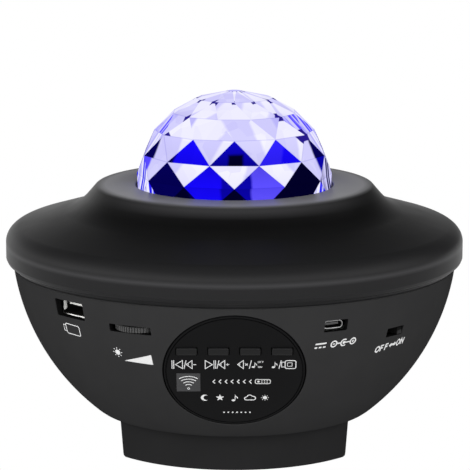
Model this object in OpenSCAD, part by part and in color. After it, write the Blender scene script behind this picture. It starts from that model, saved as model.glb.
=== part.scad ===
// Star night light projector: a ball-shaped bowl on a foot, a wide brimmed cover
// with a faceted crystal dome, a slanted key panel and ports round the bowl.
// The origin is the middle of the footprint on the table, +Z up, keys facing -Y.

/* [Bowl and foot] */
// Radius of the ball that the bowl is cut from
bowl_r = 82; // [78:1:90]
// Height of the bowl from its underside to the seam
bowl_h = 53; // [50:1:56]
// Height of the ball's middle above the seam
ball_rise = 10.9; // [6:0.5:14]
// Wall of the moulded shells
wall = 2.4; // [1.8:0.1:2.8]
// Height of the foot, from the table to the bowl's underside
foot_h = 15; // [13:0.5:20]
// Diameter of the foot where it meets the bowl
foot_d = 83.4; // [80:0.5:88]
// How much farther the foot's front stands out than its round back
foot_front = 3.1; // [2:0.1:4]
// Radius of the foot's front in plan
foot_arc = 56; // [50:1:70]
// Rounding of the foot's two upright edges
foot_corner = 4; // [3:0.5:6]
// How far the rubber pads stand proud of the foot
pad_proud = 0.3; // [0.2:0.1:1.5]
// Diameter of a rubber pad
pad_d = 10; // [8:0.5:11]

/* [Cover] */
// How far the brim stands out beyond the bowl at the seam
brim_out = 2.7; // [1.5:0.1:5]
// Height of the bevel under the brim's edge
brim_bevel = 3.2; // [2:0.1:4]
// Height from the seam to the widest point of the brim's rounded edge
brim_band = 8.9; // [7:0.1:11]
// Width of the brim's rounded edge
edge_w = 7.5; // [6:0.1:9]
// Height of the brim's rounded edge
edge_h = 6.3; // [5:0.1:7]
// Slope of the brim in degrees
brim_slope = 16.4; // [12:0.2:19]
// Slope of the collar's side in degrees
collar_slope = 49.3; // [45:0.5:60]
// Height from the seam to the collar's flat top
cover_h = 29.3; // [27:0.1:32]
// Width of the collar's flat top from the dome's edge outwards
collar_w = 14.2; // [13:0.1:17]
// How far the cover's lip reaches down into the bowl
lip_h = 2.2; // [1.5:0.1:2.4]

/* [Dome] */
// Radius of the crystal dome
dome_r = 36; // [33:0.5:38]
// Height of the dome above the collar
dome_h = 34.3; // [30:0.5:40]
// Number of facets round the dome
dome_sides = 12; // [10:1:16]
// Least thickness of the dome
dome_wall = 2; // [1.5:0.1:3]

/* [Key panel] */
// Diameter of the flat key panel
panel_d = 49.3; // [46:0.5:52]
// Slant of the panel in degrees, facing downwards
panel_tilt = 27; // [24:0.5:30]
// Thickness of the panel plate
panel_t = 2; // [1.6:0.1:2.4]
// Width of a key
key_w = 7; // [6:0.1:8]
// Height of a key
key_h = 3; // [2.5:0.1:4]
// Distance from one key to the next
key_pitch = 10.9; // [9.8:0.1:11.2]
// How far the keys stand proud of the panel
key_proud = 0.6; // [0.4:0.1:1]
// Travel of a key
key_travel = 0.5; // [0.3:0.1:0.6]
// Side of the square infrared window
ir_side = 8.2; // [7:0.1:9]

/* [Ports and controls] */
// Width of the USB socket's metal shell
usb_w = 13; // [12.6:0.1:13.4]
// Height of the USB socket's metal shell
usb_h = 5.4; // [5.2:0.1:5.8]
// Width of the power inlet's metal shell
inlet_w = 7.6; // [7.4:0.1:8]
// Height of the power inlet's metal shell
inlet_h = 2.9; // [2.8:0.1:3.2]
// Diameter of the dimmer wheel
dimmer_d = 18; // [16:0.5:20]
// Thickness of the dimmer wheel
dimmer_t = 2; // [1.6:0.1:2.2]
// How far the dimmer wheel shows outside the bowl
dimmer_proud = 0.6; // [0.3:0.1:1.2]
// Width of the power switch's knob
knob_w = 3.2; // [2.6:0.1:3.6]
// Height of the power switch's knob
knob_h = 2.6; // [2.2:0.1:2.8]
// Travel of the power switch's knob
knob_travel = 4.4; // [3:0.1:4.8]

/* [Optics] */
// Thickness of the optics tray
tray_t = 2; // [1.6:0.1:2.4]
// Module of the gear teeth
gear_m = 0.8; // [0.7:0.05:0.8]
// Width of the gears along their axes
gear_t = 2; // [1.6:0.1:2.4]
// Diameter of the gear motor's can
motor_d = 18; // [16:0.5:20]
// Diameter of the laser's barrel
laser_d = 8; // [6:0.5:8.5]

/* [Speaker] */
// Diameter of the speaker's frame
speaker_d = 53; // [50:0.5:54]
// Diameter of the speaker's magnet
magnet_d = 30; // [28:0.5:33]
// Travel of the speaker cone to each side
cone_travel = 0.5; // [0.3:0.1:0.6]

/* [Hidden] */
$fn = 72;
// Clearances: a slip fit of fixed parts, a running gap, a small relief
fit = 0.1;
gap = 0.3;
eps = 0.01;
big = 200;

// Levels
floor_z = foot_h;
seam_z = foot_h + bowl_h;
ball_z = seam_z + ball_rise;
top_z = seam_z + cover_h;
board_t = 1.6;
inner_r = bowl_r - wall;
seam_r = ring_r(bowl_r, seam_z);
brim_r = seam_r + brim_out;
rim_z = seam_z + brim_band;
hole_r = dome_r + 0.4;
collar_r = dome_r + collar_w + 0.4;
under_z = top_z - wall;

// Radius of a ball of radius r, standing at ball_z, at height z
function ring_r(r, z) = sqrt(r * r - pow(z - ball_z, 2));
// Point at distance r and angle a
function polar(r, a) = [r * cos(a), r * sin(a)];

// Screws: a thread 2.6 mm across in bores with a slip fit
screw_d = 2.6;
head_d = 5;
head_h = 1.8;
boss_d = 7;
small_d = 1.8;
bore_d = screw_d + 2 * fit;
pilot_d = small_d + 2 * fit;
bite = 5;
quarter = [45, 135, 225, 315];

// Pan head with its seat at z = 0, thread of diameter d pointing down
module screw(l, d = screw_d) {
    hd = d * head_d / screw_d;
    hh = d * head_h / screw_d;
    difference() {
        union() {
            cylinder(d = hd, h = hh);
            translate([0, 0, -l]) cylinder(d = d, h = l + hh / 2);
        }
        for (a = [0, 90]) rotate([0, 0, a])
            translate([-hd * 0.3, -hd * 0.06, hh - hd * 0.16]) cube([hd * 0.6, hd * 0.12, hd]);
    }
}
module at_quarters(r) { for (a = quarter) rotate([0, 0, a]) translate([r, 0, 0]) children(); }

// ---------------------------------------------------------------- foot
foot_r = foot_d / 2;
foot_floor = pad_proud + wall;
pad_t = pad_proud + 1.2;
foot_boss_r = foot_r - 7.7;
foot_seat = pad_t + 3;
grille_hole = 2.4;
grille_pitch = 4.4;
flat_x = foot_r - 0.2;
corner_x = flat_x - foot_corner;
arc_y = foot_arc - foot_r - foot_front;
corner_a = acos(corner_x / (foot_arc - foot_corner));
corner_y = arc_y - (foot_arc - foot_corner) * sin(corner_a);

function bow(middle, r, from, to, n) =
    [for (i = [0:n]) middle + polar(r, from + (to - from) * i / n)];
// The foot in plan, moved inwards by o: a round back, flat sides, rounded corners, a fuller front
function foot_plan(o) =
    let (back = acos((flat_x - o) / (foot_r - o)))
    concat(bow([0, 0], foot_r - o, -back, 180 + back, 48),
        bow([-corner_x, corner_y], foot_corner - o, 180, 180 + corner_a, 4),
        bow([0, arc_y], foot_arc - o, 180 + corner_a, 360 - corner_a, 24),
        bow([corner_x, corner_y], foot_corner - o, -corner_a, 0, 4));
module sound_hole() { cylinder(d = grille_hole, h = foot_floor + 1, $fn = 16); }
module foot_base() {
    color("#2b2b2d") difference() {
        union() {
            difference() {
                translate([0, 0, pad_proud]) linear_extrude(foot_h - pad_proud) polygon(foot_plan(0));
                translate([0, 0, foot_floor]) linear_extrude(foot_h) polygon(foot_plan(wall));
            }
            at_quarters(foot_boss_r) translate([0, 0, foot_floor - eps])
                cylinder(d = boss_d, h = foot_h - foot_floor + eps);
            // seats of the speaker's four ears and of its gasket
            for (a = [0:90:270]) rotate([0, 0, a]) translate([ear_r, 0, foot_floor - eps])
                cylinder(d = 6, h = speaker_z - foot_floor + eps);
            translate([0, 0, foot_floor - eps]) difference() {
                cylinder(r = gasket_r, h = gasket_z - foot_floor + eps);
                translate([0, 0, -1]) cylinder(r = gasket_r - gasket_w, h = foot_h);
            }
        }
        at_quarters(foot_boss_r) {
            translate([0, 0, -1]) cylinder(d = pad_d + 2 * fit, h = 1 + pad_t);
            cylinder(d = head_d + 2 * gap, h = foot_seat);
            cylinder(d = bore_d, h = foot_h + 1);
        }
        for (a = [0:90:270]) rotate([0, 0, a]) translate([ear_r, 0, speaker_z - 3])
            cylinder(d = pilot_d, h = 4);
        // sound holes in rings
        sound_hole();
        for (ring = [1:4]) for (i = [0:6 * ring - 1]) rotate([0, 0, 60 * i / ring])
            translate([grille_pitch * ring, 0, 0]) sound_hole();
    }
}
module rubber_pads() {
    color("#1d1d1f") at_quarters(foot_boss_r) difference() {
        cylinder(d = pad_d, h = pad_t);
        translate([0, 0, -1]) cylinder(d = pad_d * 0.45, h = 1.4);
    }
}
module foot_screws() {
    color("silver") at_quarters(foot_boss_r) translate([0, 0, foot_seat])
        mirror([0, 0, 1]) screw(foot_h - foot_seat + 7);
}

// ---------------------------------------------------------------- bowl
well_d = 9;
well_bore = head_d + 2 * 0.7;
well_r = foot_r + 1 + well_bore / 2;
// Case screws stand clear of the panel and the ports, so at the sides and the back
module at_wells() { for (a = [-10, 55, 125, 190]) rotate([0, 0, a]) translate([well_r, 0, 0]) children(); }
tray_z = seam_z - 6;
shelf_t = 2.5;
magnet_hole_r = magnet_d / 2 + 4;
stand_r = foot_r - 4.7;
stand_d = 6;
main_z = floor_z + 15;
panel_r = panel_d / 2;
panel_dist = sqrt(bowl_r * bowl_r - panel_r * panel_r);
ledge_w = 1.3;
ledge_t = 3;
// Drop of each port's middle below the ball's middle, and its bearing from the front,
// from its sideways distance to the panel's edge
function bearing(beside, z) = asin((panel_r + beside) / ring_r(bowl_r, z));
usb_z = ball_z - 16.8;
dimmer_z = ball_z - 20.5;
inlet_z = ball_z - 18.9;
switch_z = ball_z - 24.9;
usb_az = -bearing(32.89, usb_z);
dimmer_az = -bearing(11.27, dimmer_z);
inlet_az = bearing(10.2, inlet_z);
switch_az = bearing(31.45, switch_z);
usb_win = [usb_w + 1.6, usb_h + 0.8];
inlet_win = [inlet_w + 1.4, inlet_h + 1.3];
dimmer_win = [16.3, dimmer_t + 0.8];
knob_win = [knob_w + knob_travel + 1, knob_h + 0.7];

// Local frame of the panel: X to the right, Y up the slant, Z out of the panel
module on_panel() { translate([0, 0, ball_z]) rotate([90 + panel_tilt, 0, 0])
    translate([0, 0, panel_dist]) children(); }
// Local frame of a port: -Y outwards at bearing az, Z up from height z
module at_port(az, z) { rotate([0, 0, az]) translate([0, 0, z]) children(); }
module block(size, y) { translate([-size[0] / 2, y, -size[2] / 2]) cube(size); }
// Slot through the bowl's wall, w wide and h high
module window(win) { block([win[0], 30, win[1]], -bowl_r - 5); }

module bowl_ball(r, z0, z1) { intersection() {
    translate([0, 0, ball_z]) sphere(r = r, $fn = 144);
    translate([0, 0, z0]) cylinder(r = big, h = z1 - z0);
} }
// Children at the two screw places of each port's board, at the board's underside
module at_post_tops() {
    for (p = PORTS) at_port(p[0], p[1]) for (s = [-1, 1])
        translate([p[2] + s * port_post_x, post_y(p[1]), 0]) children();
}
module bowl_shell() {
    color("#2f2f31") difference() {
        union() {
            difference() {
                bowl_ball(bowl_r, floor_z, seam_z);
                bowl_ball(inner_r, floor_z + wall, seam_z + 1);
            }
            intersection() {
                bowl_ball(bowl_r - wall / 2, floor_z, seam_z - lip_h - gap);
                union() {
                    on_panel() translate([0, 0, -panel_t - ledge_t])
                        cylinder(r = panel_r + wall, h = panel_t + ledge_t);
                    at_wells() cylinder(d = well_d, h = tray_z);
                    at_quarters(foot_boss_r) cylinder(d = boss_d, h = floor_z + 9);
                    for (a = [0:90:270]) rotate([0, 0, a]) translate([stand_r, 0, 0])
                        cylinder(d = stand_d, h = main_z);
                    at_post_tops() translate([0, 0, -big]) cylinder(d = 5, h = big);
                }
            }
        }
        // seat and window of the key panel
        on_panel() {
            translate([0, 0, -panel_t]) cylinder(r = panel_r + fit, h = 20);
            translate([0, 0, -15]) cylinder(r = panel_r - ledge_w, h = 30);
        }
        at_port(usb_az, usb_z) window(usb_win);
        at_port(dimmer_az, dimmer_z) window(dimmer_win);
        at_port(inlet_az, inlet_z) window(inlet_win);
        at_port(switch_az, switch_z) window(knob_win);
        // case screw wells, open below, with a shelf at the top
        at_wells() {
            cylinder(d = well_bore, h = tray_z - shelf_t);
            cylinder(d = bore_d, h = tray_z + 1);
        }
        at_quarters(foot_boss_r) cylinder(d = bore_d, h = floor_z + 7.5);
        for (a = [0:90:270]) rotate([0, 0, a]) translate([stand_r, 0, main_z - bite - 2])
            cylinder(d = pilot_d, h = bite + 3);
        cylinder(r = magnet_hole_r, h = floor_z + wall + 1);
        at_post_tops() translate([0, 0, -bite - 2]) cylinder(d = pilot_d, h = bite + 3);
    }
}
module case_screws() {
    color("silver") at_wells() translate([0, 0, tray_z - shelf_t])
        mirror([0, 0, 1]) screw(shelf_t + tray_t + 8);
}

// ---------------------------------------------------------------- cover
collar_round = 2.2;
root_round = 18;
arc_steps = 5;
edge_steps = 9;
// Arc that rounds corner p between travel directions a1 and a2 with radius r
function rounded(p, a1, a2, r) =
    let (s = sign(a2 - a1), l = r * tan(abs(a2 - a1) / 2),
         t1 = p - l * [cos(a1), sin(a1)], c = t1 + s * r * [-sin(a1), cos(a1)])
    [for (i = [0:arc_steps]) let (a = a1 + (a2 - a1) * i / arc_steps) c + s * r * [sin(a), -cos(a)]];
// Outer face of the cover from the collar to the rim, moved inwards by o
function cover_face(o) =
    let (a = edge_w - o, b = edge_h - o, tend = atan2(b, a * tan(brim_slope)),
         e = [brim_r - edge_w, rim_z] + [a * cos(tend), b * sin(tend)],
         c = [collar_r - o * tan(collar_slope / 2), top_z - o],
         r = (e[1] - c[1] + e[0] * tan(brim_slope) - c[0] * tan(collar_slope))
             / (tan(brim_slope) - tan(collar_slope)),
         p = [r, c[1] - (r - c[0]) * tan(collar_slope)])
    concat(rounded(c, 0, -collar_slope, max(collar_round - o, 0.3)),
        rounded(p, -collar_slope, -brim_slope, root_round + o),
        [for (i = [0:edge_steps]) let (t = tend * (1 - i / edge_steps))
            [brim_r - edge_w, rim_z] + [a * cos(t), b * sin(t)]]);
function flip(v) = [for (i = [len(v) - 1:-1:0]) v[i]];

lip_r = ring_r(inner_r, seam_z - lip_h) - 0.2;
lip_w = 2;
groove = 0.45;
module cover_outline() {
    polygon(concat([[hole_r, under_z], [hole_r, top_z - 0.6], [hole_r + 0.6, top_z]],
        cover_face(0),
        [[brim_r, seam_z + brim_bevel], [brim_r - 0.5, seam_z + brim_bevel - 1.1],
         [seam_r, seam_z + groove], [seam_r - groove, seam_z], [lip_r, seam_z],
         [lip_r, seam_z - lip_h], [lip_r - lip_w, seam_z - lip_h],
         [lip_r - lip_w, seam_z + wall], [brim_r - wall, seam_z + brim_bevel + wall]],
        flip(cover_face(wall))));
}
cover_boss_d = 8;
function lug_angles() = [90, 210, 330];
module top_cover() {
    color("#3a3a3c") difference() {
        union() {
            rotate_extrude() cover_outline();
            at_wells() translate([0, 0, tray_z + tray_t])
                cylinder(d = cover_boss_d, h = under_z + eps - tray_z - tray_t);
            for (a = lug_angles()) rotate([0, 0, a]) translate([lug_r, 0, flange_z])
                cylinder(d = lug_d, h = under_z - flange_z + eps);
        }
        at_wells() translate([0, 0, tray_z])
            cylinder(d = bore_d, h = tray_t + 9);
        for (a = lug_angles()) rotate([0, 0, a]) translate([lug_r, 0, 0])
            cylinder(d = pilot_d, h = under_z + 1);
    }
}

// ---------------------------------------------------------------- dome
flange_t = 2.4;
flange_r = dome_r + 3.5;
flange_z = under_z - flange_t;
lug_d = 5.6;
lug_r = flange_r + 3.4;
// Latitudes of the rings of corners, the first at the flange's underside
dome_lat = [asin((flange_z - top_z) / dome_h), 6.2, 19.7, 35.5, 50.7, 67, 86.2];
function dome_point(i, k) =
    let (a = -90 + (k + (i % 2 == 0 ? 0.5 : 0)) * 360 / dome_sides)
    [dome_r * cos(dome_lat[i]) * cos(a), dome_r * cos(dome_lat[i]) * sin(a),
     top_z + dome_h * sin(dome_lat[i])];
module dome_facets() {
    n = dome_sides;
    rings = len(dome_lat);
    polyhedron(
        points = [for (i = [0:rings - 1]) for (k = [0:n - 1]) dome_point(i, k)],
        faces = concat([[for (k = [0:n - 1]) k]],
            [for (i = [0:rings - 2]) for (k = [0:n - 1]) let (
                up = i % 2, a = i * n + k, b = i * n + (k + 1) % n,
                c = (i + 1) * n + (k + 1 - up) % n, d = (i + 1) * n + (k + 2 - up) % n)
                each [[a, c, b], [b, c, d]]],
            [[for (k = [n - 1:-1:0]) (rings - 1) * n + k]]));
}
dome_in = dome_r * cos(180 / dome_sides) - dome_wall;
module dome_hollow() {
    steps = 14;
    k = (dome_h - dome_r * (1 - cos(180 / dome_sides)) - dome_wall) / dome_in;
    rotate_extrude() polygon(concat([[0, flange_z - 1], [dome_in, flange_z - 1]],
        [for (i = [0:steps]) let (t = 90 * i / steps)
            [dome_in * cos(t), top_z + k * dome_in * sin(t)]]));
}
module crystal_dome() {
    color("#7f78ff") difference() {
        union() {
            dome_facets();
            translate([0, 0, flange_z]) cylinder(r = flange_r, h = flange_t);
        }
        dome_hollow();
    }
}
retainer_t = 2;
module dome_retainer() {
    color("#e8e8ea") translate([0, 0, flange_z - retainer_t]) difference() {
        union() {
            cylinder(r = flange_r, h = retainer_t);
            for (a = lug_angles()) rotate([0, 0, a]) {
                translate([lug_r, 0, 0]) cylinder(d = lug_d, h = retainer_t);
                translate([flange_r - 2, -lug_d / 2, 0]) cube([lug_r - flange_r + 2, lug_d, retainer_t]);
            }
        }
        translate([0, 0, -1]) cylinder(r = dome_in - 0.5, h = retainer_t + 2);
        for (a = lug_angles()) rotate([0, 0, a]) translate([lug_r, 0, -1])
            cylinder(d = pilot_d, h = retainer_t + 2);
    }
}
module retainer_screws() {
    color("silver") for (a = lug_angles()) rotate([0, 0, a])
        translate([lug_r, 0, flange_z - retainer_t])
        mirror([0, 0, 1]) screw(retainer_t + flange_t, small_d);
}

// ---------------------------------------------------------------- key panel
// Places on the panel, from its middle: X to the right, Y up the slant
key_v = 9.15;
key_count = 4;
key_play_gap = 0.3;
lug_over = 0.8;
lug_t = 0.7;
ir_at = [-15.85, -5];
ir_t = 1.2;
ir_lip = 0.8;
post_d = 4.2;
post_at = panel_r - ledge_w - post_d / 2 - 0.5;
board_face = -panel_t - ledge_t;
switch_h = 1.4;
function key_x(i) = (i - (key_count - 1) / 2) * key_pitch;
function post_angles() = [50, 130, 230, 310];
module plate(w, h, z0, z1) { translate([-w / 2, -h / 2, z0]) cube([w, h, z1 - z0]); }

module control_panel() {
    color("#1c1c1e") on_panel() difference() {
        union() {
            translate([0, 0, -panel_t]) cylinder(r = panel_r, h = panel_t, $fn = 144);
            for (a = post_angles()) rotate([0, 0, a]) translate([post_at, 0, board_face])
                cylinder(d = post_d, h = ledge_t + eps);
        }
        for (i = [0:key_count - 1]) translate([key_x(i), key_v, 0])
            plate(key_w + 2 * key_play_gap, key_h + 2 * key_play_gap, -panel_t - 1, 1);
        translate(ir_at) {
            plate(ir_side + 2 * fit, ir_side + 2 * fit, -panel_t - 1, 1);
            plate(ir_side + 2 * (ir_lip + fit), ir_side + 2 * (ir_lip + fit), -panel_t - 1, -ir_t);
        }
        for (a = post_angles()) rotate([0, 0, a]) translate([post_at, 0, board_face - 1])
            cylinder(d = pilot_d, h = ledge_t + 2);
    }
}
module key(i) {
    c = 0.4;
    color("#262628") on_panel() translate([key_x(i), key_v, 0]) {
        translate([0, 0, -panel_t - fit - eps]) linear_extrude(key_proud + panel_t + fit + eps) polygon([
            [c - key_w / 2, -key_h / 2], [key_w / 2 - c, -key_h / 2], [key_w / 2, c - key_h / 2],
            [key_w / 2, key_h / 2 - c], [key_w / 2 - c, key_h / 2], [c - key_w / 2, key_h / 2],
            [-key_w / 2, key_h / 2 - c], [-key_w / 2, c - key_h / 2]]);
        plate(key_w - 1, key_h + 2 * lug_over, -panel_t - fit - lug_t, -panel_t - fit);
        // stem that presses the switch
        translate([0, 0, board_face + 0.4 + key_travel])
            cylinder(d = 2, h = ledge_t - 0.4 - key_travel - fit - lug_t / 2);
    }
}
module key_previous() { key(0); }
module key_play() { key(1); }
module key_mute() { key(2); }
module key_source() { key(3); }
module key_board() {
    color("#1f5f3a") on_panel() translate([0, 0, board_face - board_t]) difference() {
        intersection() {
            cylinder(r = panel_r + 1.2, h = board_t);
            translate([-big / 2, panel_r - 6 - big, -1]) cube([big, big, board_t + 2]);
        }
        for (a = post_angles()) rotate([0, 0, a]) translate([post_at, 0, -1])
            cylinder(d = pilot_d, h = board_t + 2);
    }
}
module key_switches() {
    color("#b9b9b4") on_panel() for (i = [0:key_count - 1]) translate([key_x(i), key_v, 0])
        difference() {
            plate(4.6, 3.6, board_face, board_face + switch_h);
            translate([0, 0, board_face + 0.3]) cylinder(d = 2.5, h = switch_h);
        }
}
module panel_screws() {
    color("silver") on_panel() for (a = post_angles()) rotate([0, 0, a])
        translate([post_at, 0, board_face - board_t])
        mirror([0, 0, 1]) screw(board_t + ledge_t + 0.5, small_d);
}
module ir_window() {
    side = ir_side + 2 * ir_lip;
    color("#55555a") on_panel() translate(ir_at) {
        plate(ir_side, ir_side, -ir_t - eps, 0);
        plate(side, side, -panel_t + fit, -ir_t);
    }
}
module ir_receiver() {
    body_h = ledge_t - 1.4;
    color("#202024") on_panel() translate([ir_at[0], ir_at[1], board_face]) {
        plate(5, 5.4, 0, body_h);
        difference() {
            translate([0, 0, body_h]) sphere(r = 1.1);
            translate([0, 0, body_h - 2.5]) cylinder(r = 3, h = 2);
        }
    }
}

// ---------------------------------------------------------------- ports
port_post_x = 3.6;
metal_t = 0.35;
port_board_w = 16;
port_board_l = 18;
usb_l = 14;
inlet_l = 6;
// Each board lies under its port and reaches almost to the bowl's wall
usb_board_z = usb_z - usb_h / 2 - board_t;
dimmer_wheel_z = dimmer_z - dimmer_t / 2;
pot_h = 2.6;
pot_top = dimmer_wheel_z - 0.4;
dimmer_board_z = pot_top - pot_h - board_t;
inlet_board_z = inlet_z - inlet_h / 2 - board_t;
housing_h = 6.2;
switch_board_z = switch_z - housing_h / 2 - board_t;
board_gap = 1.6;
post_inset = 3;
function board_y(z) = -ring_r(inner_r, z) + board_gap;
function post_y(z) = board_y(z) + port_board_l - post_inset;
// Bearing, underside and sideways shift of the posts of each port's board
PORTS = [[usb_az, usb_board_z, 0], [dimmer_az, dimmer_board_z, -2.4],
    [inlet_az, inlet_board_z, 2.4], [switch_az, switch_board_z, 0]];
usb_set_back = 2.9;
inlet_set_back = 2.5;
knob_set_back = 0.3;
knob_l = 7.4;
usb_y = -ring_r(bowl_r, usb_z) + usb_set_back;
inlet_y = -ring_r(bowl_r, inlet_z) + inlet_set_back;
dimmer_y = -ring_r(bowl_r, dimmer_z) - dimmer_proud + dimmer_d / 2;
knob_y = -ring_r(bowl_r, switch_z) + knob_set_back;
housing_y = knob_y + knob_l;

module port_board(p) {
    color("#1f5f3a") at_port(p[0], p[1]) difference() {
        translate([-port_board_w / 2, board_y(p[1]), 0]) cube([port_board_w, port_board_l, board_t]);
        for (s = [-1, 1]) translate([p[2] + s * port_post_x, post_y(p[1]), -1])
            cylinder(d = pilot_d, h = board_t + 2);
    }
}
module usb_board() { port_board(PORTS[0]); }
module dimmer_board() { port_board(PORTS[1]); }
module inlet_board() { port_board(PORTS[2]); }
module switch_board() { port_board(PORTS[3]); }
module port_screws() {
    color("silver") at_post_tops() translate([0, 0, board_t]) screw(board_t + bite, small_d);
}
module usb_shell() {
    in = [usb_w - 2 * metal_t, usb_l + 2, usb_h - 2 * metal_t];
    color("silver") at_port(usb_az, usb_z) difference() {
        block([usb_w, usb_l, usb_h], usb_y);
        block(in, usb_y - 1);
    }
}
module usb_tongue() {
    back = 4.2;
    w = usb_w - 2 * metal_t - 2 * eps;
    color("#e9e9e6") at_port(usb_az, usb_z) {
        block([w, back, usb_h - 2 * metal_t - 2 * eps], usb_y + usb_l - back);
        translate([0, 0, usb_h / 2 - metal_t - 1.9]) block([w - 1.3, usb_l - 2.4, 1.8], usb_y + 2.4);
    }
}
module dimmer_wheel() {
    ribs = 52;
    color("#2a2a2c") at_port(dimmer_az, dimmer_wheel_z) translate([0, dimmer_y, 0]) difference() {
        linear_extrude(dimmer_t) polygon([for (i = [0:2 * ribs - 1])
            polar(dimmer_d / 2 - 0.45 * (i % 2), 180 * i / ribs)]);
        translate([0, 0, -1]) cylinder(d = pot_shaft_d, h = dimmer_t + 2);
        translate([0, 0, dimmer_t - 0.4]) cylinder(r = dimmer_d / 2 - 2.4, h = 1);
    }
}
pot_shaft_d = 3;
module dimmer_shaft() {
    color("silver") at_port(dimmer_az, 0) translate([0, dimmer_y, pot_top - pot_h + 0.3])
        cylinder(d = pot_shaft_d, h = pot_h - 0.3 + 0.4 + dimmer_t - 0.4);
}
module dimmer_pot() {
    color("#6a6a66") at_port(dimmer_az, 0) translate([0, dimmer_y, pot_top - pot_h]) difference() {
        cylinder(d = 8.4, h = pot_h);
        cylinder(d = pot_shaft_d + 0.1, h = pot_h + 1);
    }
}
// Oval outline w by h with round ends
module oval(w, h) {
    n = 8;
    r = h / 2;
    polygon(concat([for (i = [0:n]) [w / 2 - r, 0] + polar(r, -90 + 180 * i / n)],
        [for (i = [0:n]) [r - w / 2, 0] + polar(r, 90 + 180 * i / n)]));
}
module inlet_shell() {
    color("silver") at_port(inlet_az, inlet_z) translate([0, inlet_y + inlet_l, 0])
        rotate([90, 0, 0]) difference() {
            linear_extrude(inlet_l) oval(inlet_w, inlet_h);
            translate([0, 0, -1]) linear_extrude(inlet_l + 2)
                oval(inlet_w - 2 * metal_t, inlet_h - 2 * metal_t);
        }
}
module inlet_tongue() {
    w = inlet_w - 2 * metal_t - 1.6;
    color("#3b3b3d") at_port(inlet_az, inlet_z) {
        translate([0, inlet_y + inlet_l, 0]) rotate([90, 0, 0]) linear_extrude(1.2)
            oval(inlet_w - 2 * metal_t - 2 * eps, inlet_h - 2 * metal_t - 2 * eps);
        translate([0, 0, 0.1]) block([w, inlet_l - 1.2, 0.75], inlet_y + 1.2);
    }
}
module switch_housing() {
    color("silver") at_port(switch_az, switch_z) difference() {
        block([port_board_w - 3, 5, housing_h], housing_y);
        block([knob_travel + 2 + 2 * gap, 3, 1.8 + gap], housing_y - 0.2);
    }
}
// The knob is drawn at ON, its right-hand stop
module switch_knob() {
    color("#2c2c2e") at_port(switch_az, switch_z) translate([knob_travel / 2, 0, 0]) {
        block([knob_w, housing_y - gap - knob_y, knob_h], knob_y);
        block([2, 2.4 + gap, 1.8 - gap], housing_y - gap - eps);
    }
}

// ---------------------------------------------------------------- main board
main_r = well_r - well_d / 2 - 0.6;
module main_board() {
    color("#1f5f3a") translate([0, 0, main_z]) difference() {
        cylinder(r = main_r, h = board_t);
        for (a = [0:90:270]) rotate([0, 0, a]) translate([stand_r, 0, -1])
            cylinder(d = pilot_d, h = board_t + 2);
    }
}
module board_screws() {
    color("silver") for (a = [0:90:270]) rotate([0, 0, a]) translate([stand_r, 0, main_z + board_t])
        screw(board_t + bite, small_d);
}
// Processor, sound chip, radio can, capacitors and sockets
chip = 12;
chip_t = 1.4;
cap_d = 6.3;
cap_h = 8;
plug = [8, 5, 5.4];
module board_parts() {
    color("#222226") translate([0, 0, main_z + board_t]) {
        translate([-chip, -chip / 3, 0]) cube([chip, chip, chip_t]);
        translate([chip * 2 / 3, -chip * 4 / 3, 0]) cube([chip * 3 / 4, chip / 2, chip_t]);
        translate([chip / 2, chip / 2, 0]) cube([chip * 2 / 3, chip / 2, chip_t * 2]);
        for (i = [-2:0]) translate([i * cap_d * 1.5, cap_d * 3.2, 0]) cylinder(d = cap_d, h = cap_h);
        for (i = [-2:1]) translate([i * plug[0] * 1.4, -plug[1] * 5.4, 0]) cube(plug);
    }
}

// ---------------------------------------------------------------- optics
opt_z = tray_z + tray_t;
sink_h = 6;
sink_r = 16;
led_z = opt_z + sink_h;
emit_z = led_z + board_t;
emit_h = 0.9;
led_r = 14;
led_ring = 8;
cup_h = 8.4;
cup_z = emit_z + cup_h;
axle_d = 3;
collar_t = 0.8;
hub_z = cup_z + collar_t + fit;
gear_z = hub_z + 0.8;
hub_top = gear_z + gear_t + 1;
mask_z = hub_top + 1.6;
mask_t = 1.5;
mask_r = well_r - cover_boss_d / 2 - 1;
leg_r = 36;
leg_d = 6;
function leg_angles() = [90, 240, 300];
// Gears: the ripple disc's rim, the motor's pinion and the grating wheel
disc_teeth = 60;
pinion_teeth = 15;
grating_teeth = 20;
press_angle = 20;
backlash = 0.14;
function pitch_r(n) = gear_m * n / 2;
motor_x = -pitch_r(disc_teeth) - pitch_r(pinion_teeth);
laser_x = pitch_r(disc_teeth) + pitch_r(grating_teeth);
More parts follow.
